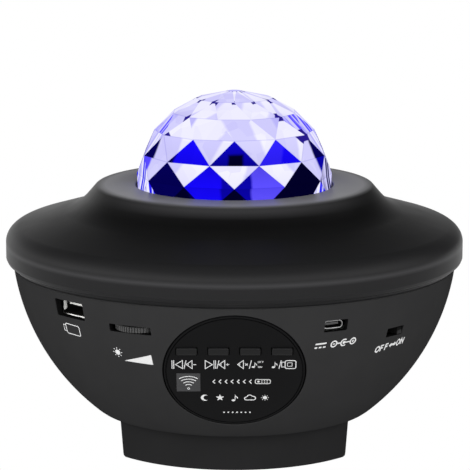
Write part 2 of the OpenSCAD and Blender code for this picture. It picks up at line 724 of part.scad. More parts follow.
// Involute angle in degrees at radius r over base radius rb
function involute(rb, r) = tan(acos(min(1, rb / r))) * 180 / PI - acos(min(1, rb / r));
function half_tooth(n, r) = let (rp = pitch_r(n), rb = rp * cos(press_angle))
    90 / n - backlash / (4 * rp) * 180 / PI + involute(rb, rp) - involute(rb, max(r, rb));
module gear(n) {
    root = pitch_r(n) - gear_m;
    tip = pitch_r(n) + 0.8 * gear_m;
    low = max(root, pitch_r(n) * cos(press_angle));
    steps = 3;
    radii = concat([root], [for (i = [0:steps]) low + (tip - low) * i / steps]);
    k = len(radii);
    polygon([for (t = [0:n - 1]) let (c = 360 * t / n) each concat(
        [for (i = [0:k - 1]) polar(radii[i], c - half_tooth(n, radii[i]))],
        [for (i = [k - 1:-1:0]) polar(radii[i], c + half_tooth(n, radii[i]))])]);
}
clamp_w = 1.5;
module optics_tray() {
    color("#d9d9dc") difference() {
        union() {
            translate([0, 0, tray_z]) cylinder(r = well_r + well_d / 2 + 1.5, h = tray_t);
            translate([motor_x, 0, opt_z - eps]) cylinder(d = motor_d + 2 * (fit + clamp_w), h = 6);
        }
        translate([motor_x, 0, opt_z]) cylinder(d = motor_d + 2 * fit, h = 8);
        at_wells() translate([0, 0, tray_z - 1]) cylinder(d = bore_d, h = tray_t + 2);
        for (a = leg_angles()) rotate([0, 0, a]) translate([leg_r, 0, tray_z - 1])
            cylinder(d = bore_d, h = tray_t + 2);
        for (s = [-1, 1]) {
            translate([s * sink_screw_x, 0, tray_z - 1]) cylinder(d = bore_d, h = tray_t + 2);
            translate([laser_x, s * holder_screw_y, tray_z - 1])
                cylinder(d = bore_d, h = tray_t + 2);
        }
        // passage for the wires
        translate([0, -2 * sink_r, tray_z - 1]) cylinder(d = 9, h = tray_t + 2);
    }
}
sink_screw_x = 7;
module heat_sink() {
    fins = 24;
    color("#a9abb0") translate([0, 0, opt_z]) difference() {
        cylinder(r = sink_r, h = sink_h);
        for (i = [0:fins - 1]) rotate([0, 0, 360 * i / fins + 7.5])
            translate([sink_r - 4.5, -0.6, -1]) cube([6, 1.2, sink_h + 2]);
        translate([0, 0, -1]) cylinder(d = axle_d + 0.04, h = sink_h + 2);
        for (s = [-1, 1]) translate([s * sink_screw_x, 0, -1])
            cylinder(d = bore_d, h = sink_h - 1);
    }
}
module led_board() {
    color("#f0f0ec") translate([0, 0, led_z]) difference() {
        cylinder(r = led_r, h = board_t);
        translate([0, 0, -1]) cylinder(d = axle_d + 0.04, h = board_t + 2);
    }
}
module led_emitters() {
    color("#ffe680") for (a = [0:90:270]) rotate([0, 0, a]) translate([led_ring, 0, 0])
        plate(3.6, 3.6, emit_z, emit_z + emit_h);
}
module led_lenses() {
    color("#dfe6ff") difference() {
        union() {
            translate([0, 0, emit_z]) difference() {
                cylinder(r = led_r, h = cup_h);
                translate([0, 0, -1]) cylinder(r = led_r - 1.1, h = cup_h);
            }
            for (a = [0:90:270]) rotate([0, 0, a]) translate([led_ring, 0, emit_z + emit_h])
                cylinder(r1 = 2.2, r2 = 4.2, h = cup_h - emit_h - 0.5);
        }
        translate([0, 0, emit_z - 1]) cylinder(d = axle_d + 2 * gap, h = cup_h + 2);
    }
}
module ripple_axle() {
    r = axle_d / 2;
    color("silver") rotate_extrude() polygon([[0, opt_z], [r, opt_z], [r, cup_z], [r + 1.4, cup_z],
        [r + 1.4, cup_z + collar_t], [r, cup_z + collar_t], [r, hub_top + fit],
        [r + 1.1, hub_top + fit], [r + 1.1, hub_top + fit + 0.8], [r - 0.3, hub_top + fit + 1.1],
        [0, hub_top + fit + 1.1]]);
}
module ripple_disc() {
    waves = 5;
    hub_r = 3.6;
    land = pitch_r(disc_teeth) - gear_m - 1.4;
    color("#cfe4ff") difference() {
        union() {
            translate([0, 0, gear_z]) linear_extrude(gear_t) gear(disc_teeth);
            translate([0, 0, hub_z]) cylinder(r = hub_r, h = hub_top - hub_z);
        }
        // rings of ripples in the upper face
        for (i = [0:waves - 1]) let (w = (land - hub_r - 1) / waves, m = hub_r + 1 + w * (i + 0.5))
            rotate_extrude() polygon([[m - w * 0.45, gear_z + gear_t + eps], [m, gear_z + gear_t - 0.7],
                [m + w * 0.45, gear_z + gear_t + eps]]);
        translate([0, 0, hub_z - 1]) cylinder(d = axle_d + 0.12, h = hub_top - hub_z + 2);
    }
}
motor_h = 13;
module gear_motor() {
    color("#c9c4a8") translate([motor_x, 0, opt_z]) difference() {
        union() {
            cylinder(d = motor_d, h = motor_h);
            translate([0, 0, motor_h - eps]) cylinder(d = 7, h = 1);
        }
        translate([0, 0, motor_h - 5]) cylinder(d = axle_d + 0.1, h = 8);
    }
}
module motor_pinion() {
    color("#f2f2f0") translate([motor_x, 0, 0]) {
        translate([0, 0, gear_z]) linear_extrude(gear_t) rotate(180 / pinion_teeth) gear(pinion_teeth);
        translate([0, 0, opt_z + motor_h - 4.8])
            cylinder(d = axle_d, h = hub_top - opt_z - motor_h + 4.8);
    }
}
holder_screw_y = 8.6;
bush_r = laser_d / 2 + 1.15;
module laser_holder() {
    color("#37373a") translate([laser_x, 0, opt_z]) difference() {
        union() {
            cylinder(r = bush_r + 1.8, h = gear_z - fit - opt_z);
            cylinder(r = holder_screw_y + 2.4, h = 4);
            cylinder(r = bush_r, h = gear_z + gear_t - fit - opt_z);
        }
        translate([0, 0, -1]) cylinder(d = laser_d + fit, h = 40);
        for (s = [-1, 1]) translate([0, s * holder_screw_y, -1]) cylinder(d = bore_d, h = 4.4);
    }
}
module laser_module() {
    color("#b08d3c") translate([laser_x, 0, opt_z]) cylinder(d = laser_d, h = cup_z - opt_z - 1.2);
}
module laser_lens() {
    color("#c8d0d8") translate([laser_x, 0, cup_z - 1.2]) cylinder(d = laser_d - 1.6, h = 1.2);
}
module grating_wheel() {
    color("#e6e6ea") translate([laser_x, 0, gear_z]) difference() {
        union() {
            linear_extrude(gear_t) rotate(180 / grating_teeth) gear(grating_teeth);
            translate([0, 0, gear_t - eps]) cylinder(r = bush_r + 0.9, h = 0.6);
        }
        translate([0, 0, -1]) cylinder(r = bush_r + 0.06, h = gear_t + 1);
    }
}
module light_mask() {
    color("#101012") difference() {
        union() {
            translate([0, 0, mask_z]) cylinder(r = mask_r, h = mask_t);
            for (a = leg_angles()) rotate([0, 0, a]) translate([leg_r, 0, opt_z])
                cylinder(d = leg_d, h = mask_z - opt_z + eps);
        }
        translate([0, 0, mask_z - 1]) cylinder(r = 22, h = mask_t + 2);
        translate([laser_x, 0, mask_z - 1]) cylinder(r = laser_d / 2 + 1.5, h = mask_t + 2);
        for (a = leg_angles()) rotate([0, 0, a]) translate([leg_r, 0, opt_z - 1])
            cylinder(d = bore_d, h = 8.5);
    }
}
// Screws from below the tray into the mask's legs, the heat sink and the laser's holder
module mask_screws() {
    color("silver") {
        for (a = leg_angles()) rotate([0, 0, a]) translate([leg_r, 0, tray_z])
            mirror([0, 0, 1]) screw(tray_t + 7);
        for (s = [-1, 1]) translate([s * sink_screw_x, 0, tray_z]) mirror([0, 0, 1])
            screw(tray_t + sink_h - 2.5);
        for (s = [-1, 1]) translate([laser_x, s * holder_screw_y, tray_z]) mirror([0, 0, 1])
            screw(tray_t + 3);
    }
}

// ---------------------------------------------------------------- speaker
gasket_z = foot_floor + 1.4;
gasket_t = 0.8;
gasket_w = 2.4;
speaker_r = speaker_d / 2;
gasket_r = speaker_r - 0.5;
speaker_z = gasket_z + gasket_t;
flange_sheet = 0.8;
ear_r = speaker_r + 2.5;
basket_h = 9;
magnet_z = speaker_z + basket_h;
magnet_r = magnet_d / 2;
plate_t = 1.2;
coil_r = 7.3;
cone_r = speaker_r - 7;
module speaker_frame() {
    top = speaker_z + flange_sheet;
    s = flange_sheet;
    color("#4a4a4e") difference() {
        union() {
            rotate_extrude() polygon([[speaker_r - 4.6, speaker_z], [speaker_r, speaker_z],
                [speaker_r, top], [speaker_r - 2, top], [magnet_r + 1.5, magnet_z],
                [coil_r + 1.3, magnet_z], [coil_r + 1.3, magnet_z - s],
                [magnet_r + 1.2 - s, magnet_z - s], [speaker_r - 3, top], [speaker_r - 4.6, top]]);
            for (a = [0:90:270]) rotate([0, 0, a]) {
                translate([ear_r, 0, speaker_z]) cylinder(d = 6, h = s);
                translate([speaker_r - 1.5, -3, speaker_z]) cube([ear_r - speaker_r + 1.5, 6, s]);
            }
        }
        for (a = [0:90:270]) rotate([0, 0, a]) {
            translate([ear_r, 0, speaker_z - 1]) cylinder(d = pilot_d, h = s + 2);
            // windows of the basket
            rotate([0, 0, 45]) translate([magnet_r + 0.4, -5.5, top + 1.2])
                cube([speaker_r, 11, basket_h - flange_sheet - 3.2]);
        }
    }
}
module speaker_magnet() {
    color("#2d2d30") rotate_extrude() polygon([
        [coil_r + 0.6, magnet_z], [magnet_r - 0.5, magnet_z], [magnet_r - 0.5, magnet_z + plate_t],
        [magnet_r, magnet_z + plate_t], [magnet_r, magnet_z + plate_t + 4.4],
        [magnet_r - 0.5, magnet_z + plate_t + 4.4], [magnet_r - 0.5, magnet_z + 2 * plate_t + 4.4],
        [0, magnet_z + 2 * plate_t + 4.4], [0, magnet_z + 0.4], [coil_r - 0.8, magnet_z + 0.4],
        [coil_r - 0.8, magnet_z + plate_t + 4.4], [coil_r + 2, magnet_z + plate_t + 4.4],
        [coil_r + 2, magnet_z + plate_t], [coil_r + 0.6, magnet_z + plate_t]]);
}
surround_t = 0.3;
module speaker_cone() {
    rim = speaker_z + flange_sheet + surround_t;
    t = 0.5;
    neck = magnet_z - 1.3 - 3 * cone_travel;
    cap_h = 1.8;
    n = 5;
    color("#38383b") rotate_extrude() polygon(concat(
        [[cone_r - 1.2, rim], [cone_r, rim], [cone_r, rim + t], [cone_r - 1.2, rim + t],
         [coil_r, neck + t], [coil_r, magnet_z + 2 + 2 * cone_travel],
         [coil_r - 0.3, magnet_z + 2 + 2 * cone_travel], [coil_r - 0.3, neck + t]],
        [for (i = [0:n]) [(coil_r - 0.3) * cos(90 * i / n), neck + t - cap_h * sin(90 * i / n)]],
        [for (i = [n:-1:0]) [(coil_r + 0.2) * cos(90 * i / n), neck - cap_h * sin(90 * i / n)]]));
}
// Rolled ring between the frame's flange and the cone's edge
module speaker_surround() {
    z = speaker_z + flange_sheet;
    t = surround_t;
    outer = speaker_r - 3.6;
    a = (speaker_r - 4.7 - cone_r) / 2;
    m = cone_r + a;
    n = 8;
    color("#1a1a1c") rotate_extrude() polygon(concat(
        [[outer, z], [outer, z + t]],
        [for (i = [0:n]) [m, z + t] + polar(a - t, -180 * i / n)],
        [[cone_r - 1.1, z + t], [cone_r - 1.1, z]],
        [for (i = [n:-1:0]) [m, z] + polar(a, -180 * i / n)]));
}
module speaker_gasket() {
    color("#151517") translate([0, 0, gasket_z]) difference() {
        cylinder(r = gasket_r, h = gasket_t);
        translate([0, 0, -1]) cylinder(r = gasket_r - gasket_w, h = gasket_t + 2);
    }
}
module speaker_screws() {
    color("silver") for (a = [0:90:270]) rotate([0, 0, a])
        translate([ear_r, 0, speaker_z + flange_sheet]) screw(flange_sheet + 2.6, small_d);
}

foot_base();
rubber_pads();
foot_screws();
bowl_shell();
case_screws();
top_cover();
crystal_dome();
dome_retainer();
retainer_screws();
control_panel();
key_previous();
key_play();
key_mute();
key_source();
key_board();
key_switches();
panel_screws();
ir_window();
ir_receiver();
usb_shell();
usb_tongue();
usb_board();
dimmer_wheel();
dimmer_shaft();
dimmer_pot();
dimmer_board();
inlet_shell();
inlet_tongue();
inlet_board();
switch_housing();
switch_knob();
switch_board();
port_screws();
main_board();
board_parts();
board_screws();
optics_tray();
heat_sink();
led_board();
led_emitters();
led_lenses();
ripple_axle();
ripple_disc();
gear_motor();
motor_pinion();
laser_module();
laser_lens();
laser_holder();
grating_wheel();
light_mask();
mask_screws();
speaker_frame();
speaker_magnet();
speaker_cone();
speaker_surround();
speaker_gasket();
speaker_screws();
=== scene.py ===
"""Star night light projector: a ball-shaped bowl on a foot, a brimmed cover and a lit crystal dome."""

import bmesh
import bpy
import numpy as np
from mathutils import Matrix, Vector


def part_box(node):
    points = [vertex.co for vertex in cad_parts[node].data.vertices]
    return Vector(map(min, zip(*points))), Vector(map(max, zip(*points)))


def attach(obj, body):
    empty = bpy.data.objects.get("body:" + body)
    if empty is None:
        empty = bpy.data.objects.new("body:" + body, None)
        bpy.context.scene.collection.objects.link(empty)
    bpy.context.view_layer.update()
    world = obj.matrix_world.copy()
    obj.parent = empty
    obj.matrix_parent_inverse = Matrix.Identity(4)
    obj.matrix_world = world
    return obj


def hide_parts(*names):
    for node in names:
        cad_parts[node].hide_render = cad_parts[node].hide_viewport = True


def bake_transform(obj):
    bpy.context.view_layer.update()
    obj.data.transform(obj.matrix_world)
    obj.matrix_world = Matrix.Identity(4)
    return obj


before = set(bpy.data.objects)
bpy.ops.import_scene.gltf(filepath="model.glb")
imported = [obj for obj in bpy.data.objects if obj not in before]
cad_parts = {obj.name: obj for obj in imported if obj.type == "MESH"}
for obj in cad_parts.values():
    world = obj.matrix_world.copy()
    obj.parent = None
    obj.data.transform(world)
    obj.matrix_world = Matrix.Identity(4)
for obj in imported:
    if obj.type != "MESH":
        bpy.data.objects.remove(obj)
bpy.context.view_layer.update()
mm = 0.001


# ---------------------------------------------------------------- bowl
# The bowl is one shell of black ABS, a ball cut by two planes and moulded with a fine grain outside.
# The ports are windows through its wall, the key panel lies in a seat cut square to the panel's slant,
# and four wells in its underside lead a screwdriver to the case screws.
ball_r, ball_z, wall = 82.0, 78.9, 2.4
floor_z, seam_z = 15.0, 68.0


def arc(middle, radii, start, end, steps):
    """Points middle + (a cos t, b sin t) for t from start to end in degrees, as (radius, height) rows."""
    t = np.radians(np.linspace(start, end, steps))
    return np.stack([middle[0] + radii[0] * np.cos(t), middle[1] + radii[1] * np.sin(t)], -1)


def eased(corners, radii, steps=6):
    """A path through corners, each rounded with its radius r: both sides are left at r tan(turn / 2) from
    the corner c, and the points between are the quadratic (1 - t)^2 a + 2 t (1 - t) c + t^2 b."""
    corners = np.asarray(corners, float)
    radii = np.asarray(radii, float)[:, None]
    back, ahead = np.roll(corners, 1, 0) - corners, np.roll(corners, -1, 0) - corners
    back /= np.linalg.norm(back, axis=1, keepdims=True)
    ahead /= np.linalg.norm(ahead, axis=1, keepdims=True)
    reach = radii / np.tan(np.arccos(np.clip((back * ahead).sum(1, keepdims=True), -1, 1)) / 2)
    t = np.linspace(0, 1, steps)[None, :, None]
    a, b = (corners + back * reach)[:, None], (corners + ahead * reach)[:, None]
    return ((1 - t) ** 2 * a + 2 * t * (1 - t) * corners[:, None] + t**2 * b).reshape(-1, 2)


def shown(name, mesh, crease=30):
    """The mesh as an object: doubles merged, faces turned outwards, edges over crease degrees sharp."""
    work = bmesh.new()
    work.from_mesh(mesh)
    bmesh.ops.remove_doubles(work, verts=work.verts, dist=1e-7)
    bmesh.ops.dissolve_degenerate(work, edges=work.edges, dist=1e-8)
    bmesh.ops.recalc_face_normals(work, faces=work.faces)
    work.to_mesh(mesh)
    work.free()
    mesh.shade_smooth()
    mesh.set_sharp_from_angle(angle=np.radians(crease))
    piece = bpy.data.objects.new(name, mesh)
    bpy.context.scene.collection.objects.link(piece)
    return piece


def skin(name, grid, around=True, along=True):
    """A piece over a grid of points P[i, j] in mm: cell (i, j) is one face with corners at i and i + 1,
    j and j + 1; around closes the rows on themselves and along the columns."""
    n, m = grid.shape[:2]
    i, j = np.indices((n - (not around), m - (not along))).reshape(2, -1)
    p, q = (i + 1) % n, (j + 1) % m
    faces = np.stack([i * m + j, p * m + j, p * m + q, i * m + q], -1)
    mesh = bpy.data.meshes.new(name)
    mesh.from_pydata(grid.reshape(-1, 3) * mm, [], faces)
    return shown(name, mesh)


def spun(path, steps=288):
    """The grid of a turned shape: P[i, j] = (r_j cos t_i, r_j sin t_i, z_j), t_i = 2 pi i / steps."""
    t = np.linspace(0, 2 * np.pi, steps, endpoint=False)[:, None]
    r, z = np.asarray(path, float).T
    return np.stack([r * np.cos(t), r * np.sin(t), z + 0 * t], -1)


def put(points, place):
    """Points in mm carried by a 4 x 4 placement M: M p."""
    m = np.array(place)
    return np.asarray(points, float) @ m[:3, :3].T + m[:3, 3]


def lifted(outline, z):
    """An outline's points (x, y) as (x, y, z), all at one height."""
    return np.c_[outline, np.full(len(outline), z)]


def bar(name, outline, low, high, place):
    """A prism: the outline in X and Y from Z low to Z high, closed by its two end faces, then placed."""
    n = len(outline)
    ends = np.concatenate([lifted(outline, low), lifted(outline, high)])
    sides = [[k, (k + 1) % n, n + (k + 1) % n, n + k] for k in range(n)]
    mesh = bpy.data.meshes.new(name)
    mesh.from_pydata(put(ends, place) * mm, [], sides + [list(range(n))[::-1], list(range(n, 2 * n))])
    return shown(name, mesh)


def finished(piece):
    """The mesh of the piece as its modifiers leave it."""
    return bpy.data.meshes.new_from_object(piece.evaluated_get(bpy.context.evaluated_depsgraph_get()))


def carved(piece, cutters):
    """piece without each of the cutters, which are used up."""
    for cutter in cutters:
        step = piece.modifiers.new("cut", "BOOLEAN")
        step.object, step.solver, step.operation = cutter, "EXACT", "DIFFERENCE"
    mesh = finished(piece)
    piece.modifiers.clear()
    piece.data = mesh
    mesh.shade_smooth()
    mesh.set_sharp_from_angle(angle=np.radians(30))
    for cutter in cutters:
        bpy.data.objects.remove(cutter)
    return piece


def oblong(w, h, r, middle=(0, 0), steps=6):
    """A w by h rectangle about middle with its corners rounded by r."""
    x, y = w / 2, h / 2
    return eased(np.array([[-x, -y], [x, -y], [x, y], [-x, y]]) + middle, [r] * 4, steps)


def at_port(bearing, height):
    """Placement of a port: X to its right, Y up, Z straight out of the bowl at a bearing from the front."""
    return (Matrix.Rotation(np.radians(bearing), 4, "Z") @ Matrix.Translation((0, 0, height))
            @ Matrix.Rotation(np.radians(90), 4, "X"))


usb_at = at_port(-45.8, 62.1)
dimmer_at = at_port(-26.9, 58.4)
inlet_at = at_port(25.9, 60.0)
switch_at = at_port(45.9, 54.0)
panel_tilt, panel_dist, panel_r = 27.0, 78.2, 24.35
panel_at = (Matrix.Translation((0, 0, ball_z)) @ Matrix.Rotation(np.radians(90 + panel_tilt), 4, "X")
            @ Matrix.Translation((0, 0, panel_dist)))


def circle_of(r, degrees):
    """Places (r cos a, r sin a) on a circle, at angles a in degrees."""
    a = np.radians(degrees)
    return r * np.stack([np.cos(a), np.sin(a)], -1)


# The bowl's wall, from the round opening in its floor out, up the ball, over the seam and down inside.
opening_r, floor_edge_r = 19, 51.39
ball = arc((0, ball_z), (ball_r, ball_r), -50.3, -8.1, 64)
inner = arc((0, ball_z), (ball_r - wall, ball_r - wall), -8.0, -50.6, 40)
bowl = skin("bowl", spun(np.concatenate([
    [[opening_r, floor_z], [floor_edge_r - 0.6, floor_z], [floor_edge_r, floor_z + 0.12]], ball,
    [[81.27, seam_z - 0.35], [80.95, seam_z]], inner, [[opening_r, floor_z + wall]]])))
well_r, well_circle = 3.2, 45.9
screw_wells = circle_of(well_circle, [-10, 55, 125, 190])
seat_r, seat_depth = panel_r + 0.4, 2
seat = put(spun([[0, -12], [panel_r - 1, -12], [panel_r - 1, -seat_depth], [seat_r, -seat_depth],
                 [seat_r, -0.32], [seat_r + 0.45, 0.16], [seat_r + 1.25, 12], [0, 12]], 192), panel_at)
port_windows = [(14.6, 6.2, 0.6, usb_at), (16.3, 2.8, 0.5, dimmer_at), (9.0, 4.2, 0.6, inlet_at),
                (8.6, 3.3, 0.4, switch_at)]
carved(bowl, [
    skin("seat", seat),
    *[bar("window", oblong(w, h, r), 50, 90, place) for w, h, r, place in port_windows],
    *[bar("well", arc(w, (well_r, well_r), 0, 352.5, 48), 5, 30, Matrix()) for w in screw_wells],
])


class Wire:
    """A value on its way through a material's nodes. Sums and products add Math nodes."""

    def __init__(self, tree, socket=None):
        self.tree, self.socket = tree, socket

    def node(self, kind, settings=None, inputs=None, out=0):
        """Adds a node of that kind with its settings, fills or joins its sockets and gives one output."""
        node = self.tree.nodes.new("ShaderNode" + kind)
        for key, value in (settings or {}).items():
            if key == "stops":
                ramp = node.color_ramp
                while len(ramp.elements) < len(value):
                    ramp.elements.new(0.5)
                for stop, (at, colour) in zip(ramp.elements, value):
                    stop.position, stop.color = at, (*colour, 1)
            else:
                setattr(node, key, value)
        for key, value in (inputs or {}).items():
            if isinstance(value, Wire):
                self.tree.links.new(value.socket, node.inputs[key])
            else:
                node.inputs[key].default_value = value
        return Wire(self.tree, node.outputs[out] if len(node.outputs) else None)

    def math(self, operation, *terms, clamp=False):
        """A Math node over the terms, in this wire's tree."""
        return self.node("Math", {"operation": operation, "use_clamp": clamp}, dict(enumerate(terms)))

    def __add__(self, other):
        return self.math("ADD", self, other)

    def __sub__(self, other):
        return self.math("SUBTRACT", self, other)

    def __rsub__(self, other):
        return self.math("SUBTRACT", other, self)

    def __mul__(self, other):
        return self.math("MULTIPLY", self, other)

    __radd__, __rmul__ = __add__, __mul__

    def times(self, colour):
        """This colour multiplied by another."""
        return self.node("Mix", {"data_type": "RGBA", "blend_type": "MULTIPLY"},
                         {0: 1.0, 6: self, 7: colour}, out=2)

    def clipped(self):
        """This value kept between 0 and 1."""
        return self.math("ADD", self, 0.0, clamp=True)

    def axes(self):
        """The three parts of this vector or colour."""
        return [self.node("SeparateXYZ", None, {"Vector": self}, out=n) for n in range(3)]

    def length(self):
        """The length of this vector."""
        return self.node("VectorMath", {"operation": "LENGTH"}, {0: self}, out=1)

    def mixed(self, a, b):
        """Colour a where this value is 0, b where it is 1."""
        return self.node("Mix", {"data_type": "RGBA"}, {0: self, 6: a, 7: b}, out=2)


def finish(name, paint, **sockets):
    """A material with one Principled shader: sockets fill it, and paint(wire) gives what varies on it."""
    made = bpy.data.materials.new(name)
    made.use_nodes = True
    made.node_tree.nodes.clear()
    wire = Wire(made.node_tree)
    even = {socket.replace("_", " "): value for socket, value in sockets.items()}
    shader = wire.node("BsdfPrincipled", None, {**even, **paint(wire)})
    wire.node("OutputMaterial", None, {"Surface": shader})
    return made


def clouds(wire, size, detail=3.0, rough=0.6):
    """Soft noise from 0 to 1 whose patches are about size metres, on the piece's own coordinates."""
    return wire.node("TexNoise", None, {"Vector": wire.node("TexCoord", out=3), "Scale": 1 / size,
                                        "Detail": detail, "Roughness": rough})


def bumped(wire, strength, depth, height):
    """The normal over waves of that height, depth metres deep."""
    return wire.node("Bump", None, {"Strength": strength, "Distance": depth, "Height": height})


def scaled(tone, times):
    """A tone made brighter or darker, as a colour with its alpha."""
    return (*[c * times for c in tone], 1)


def moulded(name, tone, rough, gloss=0.3, grain=0.10, uneven=0.10, mask=None, times=1.0):
    """Moulded plastic: colour = tone (1 + uneven (2 n - 1)), roughness = rough + 0.08 (n - 1/2) with n soft
    clouds of 12 mm, and height = fine grain of 0.35 mm. Where mask(wire) is 1 the tone is so many times as
    bright."""
    def paint(wire):
        soft = clouds(wire, 0.012)
        colour = soft.mixed(scaled(tone, 1 - uneven), scaled(tone, 1 + uneven))
        if mask:
            colour = mask(wire).mixed(colour, scaled(tone, times))
        return {"Base Color": colour, "Roughness": (soft - 0.5) * 0.08 + rough,
                "Normal": bumped(wire, grain, 0.00003, clouds(wire, 0.00035, 2.0))}
    return finish(name, paint, Specular_IOR_Level=gloss)


def joined(piece, body, slot, material, *nodes):
    """The piece gets its material, rides on its body if one is named, and replaces those nodes."""
    piece.data.materials.clear()
    piece.data.materials.append(material)
    if body:
        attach(piece, body)
    if nodes:
        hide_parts(*nodes)
    return piece


def painted_shade_inside(wire):
    """Painted shade: 1 where a point is more than 0.2 mm below the ball's face, R - |p - c| > 0.2 mm."""
    out = wire.node("VectorMath", {"operation": "SUBTRACT"},
                    {0: wire.node("TexCoord", out=3), 1: (0, 0, ball_z * mm)})
    return (((ball_r - 0.2) * mm - out.length()) * 8000).clipped()


# Below the ball's face the black is painted a quarter as bright, as shade in the windows, wells and inside.
matt_black = moulded("matt_black_abs", (0.0175, 0.0175, 0.0178), 0.62, 0.0, mask=painted_shade_inside, times=0.25)
joined(bowl, "case", "case_black", matt_black, "bowl_shell")

# Each well is a tube from the bowl's floor up to a shelf with a hole for the screw's shank.
shelf_z, shelf_t, shank_r, tube_r = 59.5, 2.5, 1.4, 4.5
for k, (x, y) in enumerate(screw_wells):
    tube = spun([[well_r, 19.5], [well_r, shelf_z], [shank_r, shelf_z], [shank_r, shelf_z + shelf_t],
                 [tube_r, shelf_z + shelf_t], [tube_r, 25.5], [3.9, 19.5]], 48)
    joined(skin(f"screw_well_{k + 1}", tube + [x, y, 0]), "case", "case_black", matt_black)


# ---------------------------------------------------------------- foot
# The foot is a shallow cup of the same ABS, screwed to the bowl from below: round behind, with flat sides,
# two rounded upright edges and a broad bowed front. Sound holes in its floor let the speaker out, and four
# soft rubber pads in round recesses cover its screws.
def dress(material, *names):
    """The CAD solid's own shape with a material of its own."""
    for name in names:
        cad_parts[name].data.materials.clear()
        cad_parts[name].data.materials.append(material)


def rubber(name, tone):
    """Soft rubber: dull and slightly mottled, height = fine pores."""
    def paint(wire):
        pores = clouds(wire, 0.0006, 4.0, 0.7)
        return {"Base Color": pores.mixed(scaled(tone, 0.7), scaled(tone, 1)),
                "Roughness": pores * 0.15 + 0.68, "Normal": bumped(wire, 0.3, 0.00005, pores)}
    return finish(name, paint)


def metal(name, tone, rough, streak=0.10):
    """Plated or turned metal: colour = tone, roughness = rough + streak (n - 1/2) with fine patches n."""
    def paint(wire):
        soft = clouds(wire, 0.0012, 4.0) - 0.5
        return {"Base Color": (soft + 0.5).mixed(scaled(tone, 0.85), scaled(tone, 1)),
                "Roughness": soft * streak + rough}
    return finish(name, paint, Metallic=1.0)


plated_steel = metal("nickel_plated_steel", (0.72, 0.71, 0.69), 0.22)
soft_rubber = rubber("pad_rubber", (0.025, 0.025, 0.026))
foot_black = moulded("matt_black_foot", (0.0100, 0.0100, 0.0102), 0.6, 0.0)


foot_r, foot_half_w, edge_r, bow_r, bow_y = 41.7, 41.5, 4.0, 56.0, 11.2


def foot_plan(o):
    """The foot seen from above, moved inwards by o mm: a round back, a rounded edge, the bowed front and
    the other edge, as four arcs (middle, radius, angles) joined by the flat sides."""
    back = np.degrees(np.arccos((foot_half_w - o) / (foot_r - o)))
    edge_x = foot_half_w - edge_r
    edge = np.degrees(np.arccos(edge_x / (bow_r - edge_r)))
    edge_y = bow_y - (bow_r - edge_r) * np.sin(np.radians(edge))
    arcs = (((0, 0), foot_r, -back, 180 + back, 120),
            ((-edge_x, edge_y), edge_r, 180.5, 179.5 + edge, 12),
            ((0, bow_y), bow_r, 180 + edge, 360 - edge, 72),
            ((edge_x, edge_y), edge_r, 0.5 - edge, -0.5, 12))
    return np.concatenate([arc(middle, (r - o, r - o), *ends) for middle, r, *ends in arcs])


# The foot's skin runs down its inner wall, over its floor to a small hole in the middle, through that and
# out under the floor, round the lower edge and up the slightly tapered outer wall.
foot_floor, foot_under, round_count = 2.7, 0.3, len(foot_plan(0))
hole_rim = arc((0, 0), (1.2, 1.2), 0, 360 - 360 / round_count, round_count)
lower_edge = [(2.2, foot_under), (1.57, 0.46), (1.16, 0.87), (1.0, 1.5)]
foot = skin("foot", np.stack([
    lifted(foot_plan(wall), floor_z), lifted(foot_plan(wall + 1), foot_floor),
    lifted(hole_rim, foot_floor), lifted(hole_rim, foot_under),
    *[lifted(foot_plan(o), z) for o, z in lower_edge], lifted(foot_plan(0), floor_z)], 1))
sound_holes = np.concatenate([circle_of(4.4 * k, np.arange(6 * k) * 60 / k) for k in range(1, 5)])
pad_places = circle_of(34, [45, 135, 225, 315])
carved(foot, [bar("sound_hole", arc(p, (1.2, 1.2), 0, 337.5, 16), -1, 4, Matrix()) for p in sound_holes]
       + [bar("pad_recess", arc(p, (5.1, 5.1), 0, 352.5, 48), -1, 1.5, Matrix()) for p in pad_places])
joined(foot, "case", "case_black", foot_black, "foot_base")
dress(soft_rubber, "rubber_pads")
dress(plated_steel, "foot_screws", "case_screws")


# ---------------------------------------------------------------- cover
# The cover is a second black moulding: a rounded rim, a gently sloping brim, a steep collar with a flat
# top round the dome. A bevel under the rim leads into the seam, and a lip reaches down into the bowl.
def sloped(corner, fall_before, fall_after, r, steps=9):
    """The arc of radius r that turns from falling at one angle to falling at another, at a corner: it
    starts r tan(turn / 2) before the corner, with points m + r (sin t, -cos t) round its middle m."""
    before, after = np.radians([-fall_before, -fall_after])
    side = np.sign(after - before)
    start = corner - r * np.tan(abs(after - before) / 2) * np.array([np.cos(before), np.sin(before)])
    middle = start + side * r * np.array([-np.sin(before), np.cos(before)])
    t = np.linspace(before, after, steps)
    return middle + side * r * np.stack([np.sin(t), -np.cos(t)], -1)


brim_r, rim_z, top_z = 83.97, 76.9, 97.3
brim_slope, collar_slope, collar_r, edge_round, root_round = 16.4, 49.3, 50.6, 2.2, 18.0
rim_size = np.array([7.5, 6.3])
rim_middle = np.array([brim_r - rim_size[0], rim_z])


def cover_path(o):
    """The cover's face from the collar to the rim, moved inwards by o: the collar's rounded edge at c, its
    root where the two falling lines meet, and the rim's quarter ellipse from the point e down."""
    a, b = rim_size - o
    fall = np.tan(np.radians([brim_slope, collar_slope]))
    end = np.degrees(np.arctan2(b, a * fall[0]))
    e = rim_middle + [a * np.cos(np.radians(end)), b * np.sin(np.radians(end))]
    c = np.array([collar_r - o * np.tan(np.radians(collar_slope / 2)), top_z - o])
    r = (e[1] - c[1] + e[0] * fall[0] - c[0] * fall[1]) / (fall[0] - fall[1])
    root = np.array([r, c[1] - (r - c[0]) * fall[1]])
    return np.concatenate([sloped(c, 0, collar_slope, max(edge_round - o, 0.3)),
                           sloped(root, collar_slope, brim_slope, root_round + o, 20),
                           arc(rim_middle, (a, b), end, 0, 28)])


